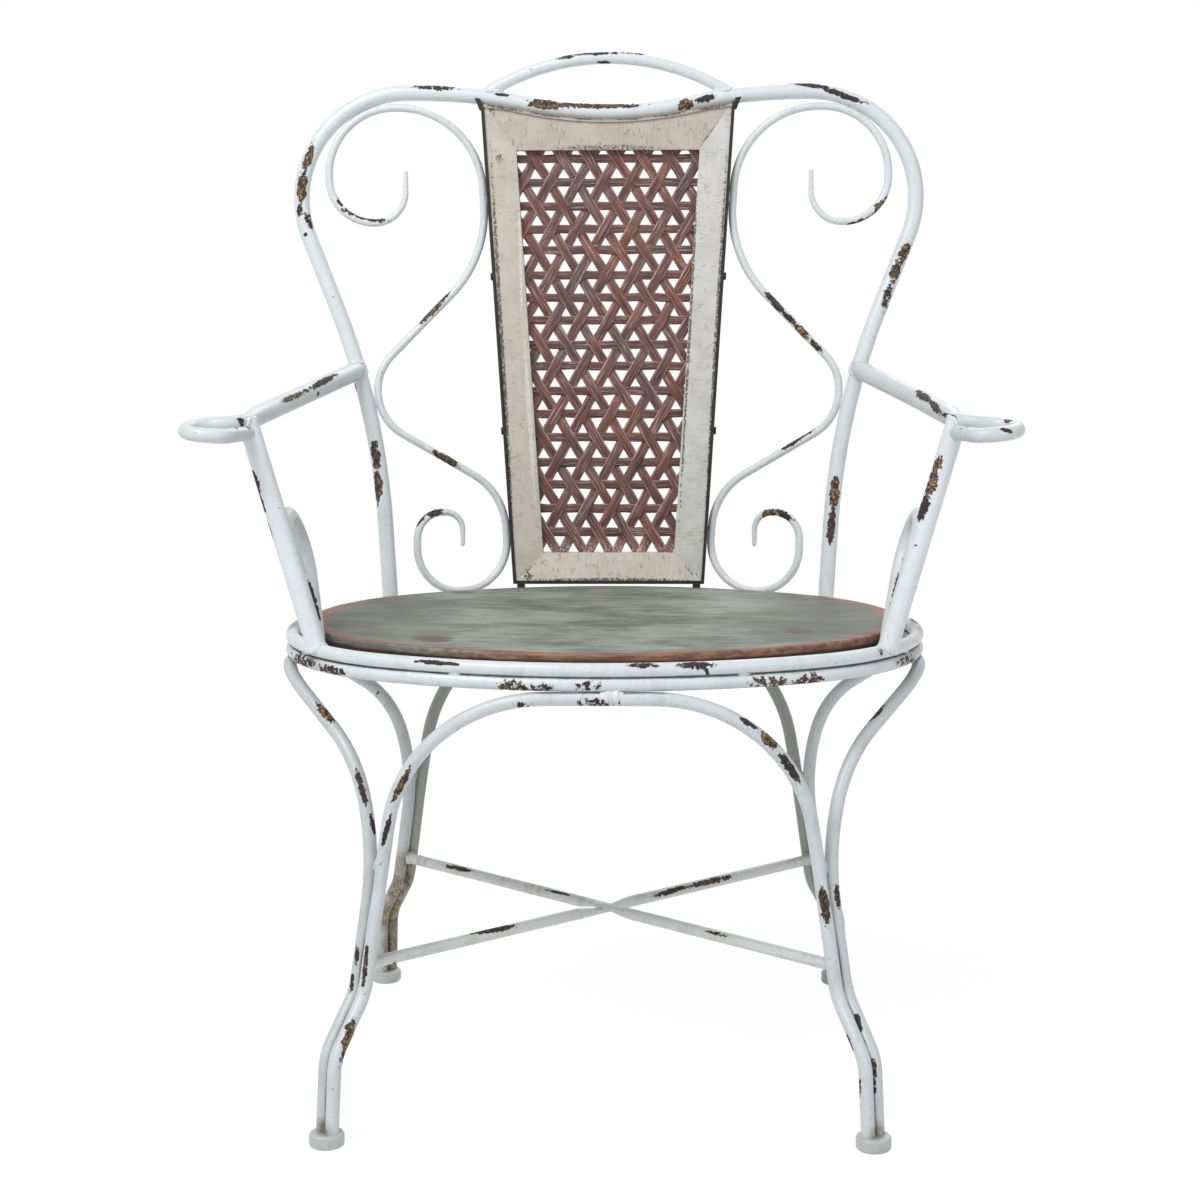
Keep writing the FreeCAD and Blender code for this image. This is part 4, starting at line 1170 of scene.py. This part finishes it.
        own = given["Slope"] - kind * given["Drift"]
        lattice = number * 2.0 * (given["Slope"] * given["Pitch"])
        start = kind * given["Shift"] + lattice - own * given["First Row"]
        start = start + offset + aside * (-1.0 / math.cos(self.lean)) * kind
        top = calc("MINIMUM", given["Tall"], (given["Foot Half"] - start) / (own - given["Flare"]))
        bottom = calc("MAXIMUM", 0.0, (given["Foot Half"] + start) / (own + given["Flare"]) * -1.0)
        top = calc("MAXIMUM", top, bottom + self.least_length * MM)
        lean_v = bottom + along * (top - bottom)
        lean_u = kind * (start + own * lean_v)
        phase = (given["First Row"] - lean_v) / given["Pitch"] * math.pi
        wave = calc("TANH", calc("COSINE", phase) * self.crispness)
        lift = wave * given["Lift"] * (kind * (-1.0 / math.tanh(self.crispness)))
        lean_place = add_node(tree, "ShaderNodeCombineXYZ",
                              {"X": lean_u, "Y": self.bowed(given, lean_v), "Z": lift + body})

        place = add_node(tree, "ShaderNodeMix", {"Factor": leaning, 4: row_place, 5: lean_place}, out=1,
                         data_type="VECTOR")
        slant = lean_v / math.cos(self.lean)
        length = add_node(tree, "ShaderNodeMix", {"Factor": leaning, 2: row_u, 3: slant}, data_type="FLOAT")
        return place, add_node(tree, "ShaderNodeCombineXYZ", {"X": length, "Y": aside, "Z": strand})

    def offset(self, given: dict[str, Value], along: Value, strand: Value) -> Value:
        """How far a strand lies off its place: by chance as a whole, and swaying along it.

        Args:
            given: The tree's inputs.
            along: 0 to 1 along the strand.
            strand: The strand's number.

        Returns:
            The distance.
        """
        stray = add_node(strand.tree, "FunctionNodeRandomValue",
                         {2: -1.0, 3: 1.0, "ID": strand, "Seed": given["Seed"]}, out=1)
        sway = self.unevenness(along, strand, times=6.0, apart=3.7, layer=0.0) * 2.0 - 1.0
        return stray * given["Stray"] + sway * given["Stray"]

    @staticmethod
    def unevenness(along: Value, strand: Value, times: float, apart: float, layer: float) -> Value:
        """Slow noise about 0.5 along each strand.

        Args:
            along: 0 to 1 along the strand.
            strand: The strand's number.
            times: How often the noise comes and goes along a strand.
            apart: How far apart in the noise one strand lies from the next.
            layer: Which slice of the noise it is.

        Returns:
            The noise value.
        """
        where = add_node(strand.tree, "ShaderNodeCombineXYZ",
                         {"X": along * times, "Y": strand * apart, "Z": layer})
        return add_node(strand.tree, "ShaderNodeTexNoise", {"Vector": where, "Scale": 1.0, "Detail": 1.0})

    @staticmethod
    def bowed(given: dict[str, Value], height: Value) -> Value:
        """A height in the panel, raised most at the middle, as the slack rows are."""
        down = (given["First Row"] - height) / given["Span"]
        return calc("SINE", down * math.pi) * given["Bow"] + height


@dataclass
class Arms:
    """The two arms with their loops, posts and small scrolls."""

    arm_wear: dict[str, Wears] = field(default_factory=lambda: {
        "left": (
            Wear((-306, -17, 654), (-291, 67, 660), 4.5, 0.5),
            Wear((-291, 67, 660), (-273, 125, 670), 4.5),
            Wear((-331, -112, 646), (-321, -113, 637), 4.0, 0.4),
            Wear((-342, -117, 638), (-327, -138, 639), 3.0),
        ),
        "right": (
            Wear((302, 36, 659), (308, -24, 654), 5.5),
            Wear((308, -24, 654), (313, -76, 646), 5.0, 0.2),
            Wear((313, -76, 646), (322, -105, 645), 3.0),
            Wear((326, -132, 638), (355, -164, 640), 3.0),
            Wear((355, -164, 640), (366, -163, 637), 2.5),
            Wear((364, -121, 644), (370, -129, 644), 3.0, 0.4),
        ),
    })
    post_wear: dict[str, Wears] = field(default_factory=lambda: {
        "left": (
            Wear((-320, -105, 598), (-313, -107, 576), 4.6),
            Wear((-314, -106, 578), (-308, -107, 558), 3.4),
            Wear((-307, -107, 552), (-302, -108, 536), 2.4, cover=0.85),
        ),
        "right": (
            Wear((309, -106, 610), (304, -107, 593), 5.5, 0.8),
            Wear((305, -107, 598), (298, -108, 575), 7.0, 1.0),
            Wear((298, -107, 578), (290, -109, 552), 7.5),
        ),
    })
    scroll_wear: dict[str, Wears] = field(default_factory=lambda: {
        "left": (Wear((-280, -51, 490), (-262, -91, 452), 3.0),),
        "right": (Wear((285, -34, 506), (263, -98, 450), 4.2),),
    })

    def build(self) -> None:
        """Dresses the arms and lays their welds."""
        welds = Welds("welds_arms", Slot.FRAME, ChippedEnamel("arm_bead_enamel", dirt=0.5))
        for side, sign in SIDES.items():
            arm, post, scroll = f"arm_{side}", f"arm_post_{side}", f"arm_scroll_{side}"
            finishes = {
                arm: ChippedEnamel(f"arm_enamel_{side}", coat="#D5DDE0", film="#B2B9AE", dirt=0.5,
                                   patches=self.arm_wear[side]),
                post: ChippedEnamel(f"post_enamel_{side}", coat="#E5ECF1", dirt=0.3, scatter=0.6,
                                    patches=self.post_wear[side]),
                scroll: ChippedEnamel(f"arm_scroll_enamel_{side}", coat="#DBE2E4", dirt=0.5,
                                      patches=self.scroll_wear[side]),
            }
            for node, finish in finishes.items():
                dress(node, finish.build())
            welds.seam(post, arm)
            welds.seam(arm, "back_hoop")
            welds.seam(post, "seat_ring_upper")
            welds.seam(scroll, "seat_ring_upper")
            welds.tack(scroll, post, (sign * 289, -95, 518), (sign * 0.3, 0, 1), 6)
            welds.tack(scroll, post, (sign * 266, -101, 443), (sign * 0.2, 0, 1))
        welds.build()


@dataclass
class Seat:
    """The two seat rings, the straps and screws under the board, and the board."""

    upper_wear: Wears = (
        Wear((-167, -182, 434), (-124, -197, 434), 2.6),
        Wear((24, -211, 436), (52, -209, 436), 4.2, cover=0.8),
        Wear((72, -207, 436), (100, -202, 435), 5.5, cover=0.85),
        Wear((95, -204, 432), (99, -196, 425), 4.0),
        Wear((302, 36, 437), (303, 6, 438), 5.5, 0.3, 0.72),
        Wear((-283, -82, 434), (-270, -103, 433), 3.0),
    )
    upper_grime_and_shadow: Wears = (
        # The first patch, on the ring's inner side by the right post, is partly dirt and partly painted
        # shadow of the gap
        Wear((286, 72, 432), (294, 18, 430), 11.0),
        Wear((301, 40, 438), (302, -40, 438), 8.0, cover=0.75),
        Wear((-301, 30, 437), (-300, -30, 436), 6.0),
        Wear((-60, 214, 433), (60, 214, 433), 8.0),
    )
    lower_grime: Wears = (
        Wear((-300, -30, 420), (-262, -122, 420), 9.0, cover=0.7),
        Wear((300, -30, 420), (276, -104, 420), 9.0, cover=0.7),
    )
    lower_wear: Wears = (
        Wear((-292, -68, 418), (-264, -118, 418), 7.5, cover=0.8),
        Wear((-262, -120, 417), (-232, -150, 417), 5.5, cover=0.75),
        Wear((-88, -205, 416), (-62, -209, 415), 8.0, 0.9, 0.72),
        Wear((-64, -208, 415), (-38, -211, 417), 6.0, 0.3, 0.6),
        Wear((-20, -214, 417), (2, -214, 419), 6.5, cover=0.6),
        Wear((134, -193, 417), (170, -179, 414), 8.5, 0.9, 0.7),
        Wear((170, -179, 414), (200, -168, 417), 8.0, 0.7, 0.7),
        Wear((272, -109, 419), (294, -68, 417), 5.5, cover=0.6),
    )
    board_spots: Wears = (
        Wear((-166, -108, 444), (-142, -138, 444), 26.0),
        Wear((176, -70, 444), (192, -90, 444), 20.0),
        Wear((-162, 149, 444), (-138, 156, 444), 16.0),
        Wear((266, -60, 444), (282, 40, 444), 16.0, cover=0.8),
        Wear((-266, -70, 444), (-284, 20, 444), 16.0, cover=0.8),
    )
    board_damp: Wears = (
        Wear((105, -62, 444), (205, -70, 444), 48.0),
        Wear((-176, -96, 444), (-138, -96, 444), 26.0),
        Wear((-290, 20, 444), (-262, -90, 444), 40.0),
    )
    # Levels of the painted shade lines: where the two rings touch, and where the arches meet the lower ring
    ring_seam: float = 424.5
    arch_seam: float = 411.5
    end_radius: float = 164.15
    ring_tacks: tuple[float, ...] = (20.0, 62.0, 118.0, 160.0, 205.0, 245.0, 295.0, 338.0)

    def build(self) -> None:
        """Dresses the seat and tacks the rings together."""
        upper = ChippedEnamel("upper_ring_enamel", dirt=0.45, patches=self.upper_wear,
                              grime=self.upper_grime_and_shadow, seams=(self.ring_seam,))
        lower = ChippedEnamel("lower_ring_enamel", coat="#DCE4E8", dirt=0.4, patches=self.lower_wear,
                              grime=self.lower_grime, seams=(self.ring_seam, self.arch_seam))
        dress("seat_ring_upper", upper.build())
        dress("seat_ring_lower", lower.build())
        strap = ChippedEnamel("strap_enamel", coat="#CFD4CF", dirt=0.7).build()
        for side in SIDES:
            dress(f"board_strap_{side}", strap)
        dress("strap_screws", ScrewSteel("dull_screw_steel").build())
        low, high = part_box("seat_board")
        board = BoardPaint("rubbed_board_paint", low, high, self.end_radius * MM,
                           self.board_spots, self.board_damp)
        dress("seat_board", board.build())
        paint = ChippedEnamel("ring_bead_enamel", coat="#DCE1DE", dirt=0.6)
        welds = Welds("welds_seat", Slot.RING, paint, bead_radius=1.6)
        _, ring_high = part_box("seat_ring_lower")
        for turn in self.ring_tacks:
            ray = Vector((math.cos(math.radians(turn)), math.sin(math.radians(turn)), 0.0))
            near = Vector((ray.x * ring_high.x, ray.y * ring_high.y, ring_high.z)) / MM
            welds.tack("seat_ring_upper", "seat_ring_lower", tuple(near), (-ray.y, ray.x, 0.0), 6)
        welds.build()


@dataclass
class Legs:
    """The four arches that are the legs, their feet and the crossed stretchers."""

    arch_wear: dict[str, Wears] = field(default_factory=lambda: {
        "front": (
            Wear((-74, -213, 401), (-54, -211, 399), 5.0, cover=0.6),
            Wear((-22, -214, 403), (18, -213, 402), 6.0, cover=0.6),
            Wear((125, -209, 388), (140, -207, 379), 4.0),
            Wear((143, -207, 375), (160, -204, 360), 6.5, 1.0),
            Wear((159, -205, 358), (179, -200, 328), 5.0),
            Wear((-169, -203, 341), (-186, -197, 308), 4.0, 0.6),
            Wear((-188, -195, 296), (-197, -190, 265), 3.2),
            Wear((-212, -193, 175), (-216, -200, 132), 3.5, 0.2),
            Wear((-223, -215, 110), (-231, -234, 79), 6.5, 1.0),
            Wear((200, -189, 231), (206, -192, 194), 5.5, 0.3),
            Wear((222, -218, 99), (227, -226, 88), 4.0),
            Wear((232, -235, 66), (233, -238, 52), 4.0),
        ),
        "left": (
            Wear((-265, -103, 378), (-249, -118, 365), 5.5, 0.8),
            Wear((-224, -149, 326), (-214, -162, 297), 4.0),
            Wear((-210, -164, 288), (-206, -167, 271), 3.5),
            Wear((-222, -184, 171), (-223, -187, 154), 3.5),
            Wear((-227, -185, 146), (-228, -192, 129), 3.5),
        ),
        "right": (
            Wear((262, -99, 379), (247, -115, 365), 5.5, 0.6),
            Wear((214, -178, 228), (217, -181, 205), 4.5, 0.3),
            Wear((232, -203, 114), (234, -213, 101), 4.0),
            Wear((237, -217, 95), (238, -219, 86), 4.5),
            Wear((243, -227, 80), (245, -231, 64), 6.0, 1.0),
            Wear((245, -231, 64), (246, -233, 50), 4.0),
        ),
        "back": (
            Wear((-150, 210, 370), (-172, 206, 345), 5.0, 0.7),
            Wear((60, 214, 400), (95, 214, 396), 4.0),
            Wear((-228, 228, 95), (-234, 236, 70), 5.5, 0.8),
            Wear((205, 190, 220), (208, 188, 185), 4.5, 0.3),
        ),
    })
    soot: Wears = (
        Wear((-214, 181, 160), (-224, 186, 140), 15.0, cover=0.9),
        Wear((-224, 186, 144), (-229, 197, 102), 22.0, cover=1.0),
        Wear((-229, 197, 102), (-238, 226, 62), 22.0, cover=1.0),
        Wear((-238, 226, 62), (-240, 232, 16), 15.0),
    )
    pair_line: tuple[Point, ...] = (
        (205, 184, 262), (211, 185, 190), (220, 189, 128), (242, 228, 80), (246, 236, 15))
    stretcher_wear: dict[str, Wears] = field(default_factory=lambda: {
        "upper": (
            Wear((-172, 141, 156), (-139, 115, 158), 3.4, cover=0.85),
            Wear((-62, 48, 158), (-34, 25, 158), 2.4),
            Wear((98, -90, 157), (118, -107, 157), 2.6, cover=0.8),
            Wear((-12, -18, 154), (-4, -10, 151), 3.5),
        ),
        "lower": (
            Wear((-125, -108, 158), (-82, -75, 157), 4.0, 0.2),
            Wear((47, 34, 155), (84, 67, 156), 3.5),
            Wear((84, 67, 156), (127, 103, 156), 4.2, 0.6),
        ),
    })
    # The back arch's coat is darker partly as painted shade and partly as grime
    coats_and_shade: dict[str, str] = field(default_factory=lambda: {
        "front": "#D4DCE0", "left": "#C9D0D2", "right": "#CED6D9", "back": "#A6ACA2"})

    def build(self) -> None:
        """Dresses the legs and lays their welds."""
        welds = Welds("welds_legs", Slot.LEG, ChippedEnamel("leg_bead_enamel", coat="#D8DDD9", dirt=0.7))
        ankles, seams = (), ()
        for across in (-1, 1):
            for depth in (-1, 1):
                inner, outer = ((across * x, depth * 236, 14) for x in (240, 252))
                ankles += (Wear(inner, outer, 13.0, cover=0.8),)
                # Painted shade lines run down the crevice where each pair of leg tubes lies side by side
                line = [(across * x, depth * y, z) for x, y, z in self.pair_line]
                seams += tuple(Wear(start, end, 3.4) for start, end in zip(line, line[1:]))
        for place, wear in self.arch_wear.items():
            soot = self.soot if place in ("back", "left") else ()
            arch = ChippedEnamel(f"arch_enamel_{place}", coat=self.coats_and_shade[place], dirt=0.7, patches=wear,
                                 grime=soot + ankles, crevices=seams, seams=(Seat.arch_seam,))
            dress(f"arch_{place}", arch.build())
        for level, wear in self.stretcher_wear.items():
            bar = ChippedEnamel(f"stretcher_enamel_{level}", coat="#D8DDDB", film="#A9AC9F", dirt=0.8,
                                patches=wear)
            dress(f"stretcher_{level}", bar.build())
        cap = ChippedEnamel("foot_cap_enamel", coat="#BFC5C6", film="#9D9D92", dirt=1.0, grime=ankles).build()
        for end, depth in (("front", -1), ("back", 1)):
            for side, sign in SIDES.items():
                dress(f"foot_cap_{end}_{side}", cap)
                pair = (f"arch_{end}", f"arch_{side}")
                welds.tack(*pair, (sign * 204, depth * 183, 247), (0, 0, 1), 7)
                welds.tack(*pair, (sign * 222, depth * 195, 118), (sign * 0.4, depth * 0.7, -0.8))
                welds.tack(*pair, (sign * 245, depth * 236, 22), (0, 0, 1))
                welds.seam("stretcher_lower" if depth * sign > 0 else "stretcher_upper", *pair)
            for sign in (-1, 1):
                welds.tack(f"arch_{end}", "seat_ring_lower", (sign * 24, depth * 208, 411), (1, 0, 0), 8)
        self.crown_lump()
        for side, sign in SIDES.items():
            for depth in (-1, 1):
                welds.tack(f"arch_{side}", "seat_ring_lower", (sign * 301, depth * 18, 411), (0, 1, 0), 7)
        welds.build()

    @staticmethod
    def crown_lump() -> None:
        """Lays the one thick lump of weld on the crown of the front arch, beside its middle."""
        paint = ChippedEnamel("crown_bead_enamel", coat="#E2E7E8", dirt=0.3)
        lump = Welds("weld_front_crown", Slot.LEG, paint, bead_radius=7.0)
        lump.lines.append(([Vector((x, -209.2, 407.5)) * MM for x in (0, 8, 16, 24)], False))
        lump.build()


@dataclass
class Studio:
    """A pale floor, soft light and the camera at the photograph's angle.

    The world lights the chair with the strength of sky and shows the camera that of backdrop. A
    lamp has a name, a place, a size and a power. The camera sees floor_share of the floor as glow.
    """

    camera_at: Point = (0.0560, -2.2907, 0.8275)
    yaw: float = 1.5
    pitch: float = 9.1
    roll: float = -0.2
    lens: float = 71.99
    floor_size: float = 5.2
    sky: float = 0.385
    backdrop: float = 1.0
    floor_glow: float = 1.07
    floor_share: float = 0.86
    sensor: float = 36.0
    lamps: tuple[tuple[str, Point, float, float], ...] = (
        ("key", (-1.3, -1.7, 2.9), 1.5, 62.0),
        ("fill", (2.1, -2.2, 1.7), 2.0, 16.0),
        ("rim", (0.6, 2.4, 2.6), 1.8, 26.0),
    )

    @staticmethod
    def seen_directly(tree: bpy.types.NodeTree) -> Value:
        """1 for rays from the camera and for reflections and see-through rays, else 0.

        Args:
            tree: The tree that asks.

        Returns:
            The answer.
        """
        camera, glossy, through = (add_node(tree, "ShaderNodeLightPath", out=f"Is {kind} Ray")
                                   for kind in ("Camera", "Glossy", "Transmission"))
        return calc("MAXIMUM", camera, calc("MAXIMUM", glossy, through))

    def light(self) -> None:
        """Sets the world and the lamps."""
        world = bpy.data.worlds.new("studio_air")
        world.use_nodes = True
        tree = world.node_tree
        tree.nodes.clear()
        level = self.seen_directly(tree) * (self.backdrop - self.sky) + self.sky
        glow = add_node(tree, "ShaderNodeBackground", {"Color": linear("#FFFFFF"), "Strength": level})
        add_node(tree, "ShaderNodeOutputWorld", {"Surface": glow})
        bpy.context.scene.world = world
        for name, place, size, power in self.lamps:
            lamp = bpy.data.lights.new(name, "AREA")
            lamp.size, lamp.energy = size, power
            holder = bpy.data.objects.new(name, lamp)
            holder.location = place
            holder.rotation_euler = (Vector((0, 0, 0.5)) - Vector(place)).to_track_quat("-Z", "Y").to_euler()
            bpy.context.scene.collection.objects.link(holder)

    def floor(self) -> None:
        """Lays the floor, white to the camera but with the chair's shadow kept."""
        half = self.floor_size / 2
        mesh = bpy.data.meshes.new("floor")
        corners = [(-half, -half, 0), (half, -half, 0), (half, half, 0), (-half, half, 0)]
        mesh.from_pydata(corners, [], [(0, 1, 2, 3)])
        plane = bpy.data.objects.new("floor", mesh)
        bpy.context.scene.collection.objects.link(plane)
        material, tree = new_material("pale_floor")
        lit = add_node(tree, "ShaderNodeBsdfDiffuse", {"Color": linear("#F2F2F2")})
        glow = add_node(tree, "ShaderNodeEmission", {"Color": linear("#FFFFFF"), "Strength": self.floor_glow})
        share = self.seen_directly(tree) * self.floor_share
        mixed = add_node(tree, "ShaderNodeMixShader", {"Fac": share, 1: lit, 2: glow})
        add_node(tree, "ShaderNodeOutputMaterial", {"Surface": mixed})
        mesh.materials.append(material)

    def camera(self) -> None:
        """Sets the camera."""
        yaw, pitch, roll = (math.radians(a) for a in (self.yaw, self.pitch, self.roll))
        ahead = Vector((-math.sin(yaw) * math.cos(pitch), math.cos(yaw) * math.cos(pitch), -math.sin(pitch)))
        right = Vector((math.cos(yaw), math.sin(yaw), 0.0))
        up = right.cross(ahead)
        turned = right * math.cos(roll) + up * math.sin(roll)
        upright = up * math.cos(roll) - right * math.sin(roll)
        data = bpy.data.cameras.new("view")
        data.lens, data.sensor_width = self.lens, self.sensor
        camera = bpy.data.objects.new("view", data)
        turn = Matrix((turned, upright, -ahead)).transposed().to_4x4()
        camera.matrix_world = Matrix.Translation(Vector(self.camera_at)) @ turn
        bpy.context.scene.collection.objects.link(camera)
        bpy.context.scene.camera = camera

    def build(self) -> None:
        """Sets up the studio."""
        self.light()
        self.floor()
        self.camera()
        bpy.context.scene.view_settings.view_transform = "Standard"


def main() -> None:
    """Builds the looks, one sub-assembly after the other."""
    for assembly in (Studio(), Back(), Splat(), Arms(), Seat(), Legs()):
        assembly.build()
        log.info("%s is done", type(assembly).__name__)


if __name__ == "__main__":
    logging.basicConfig(level=logging.INFO, format="%(name)s: %(message)s")
    main()
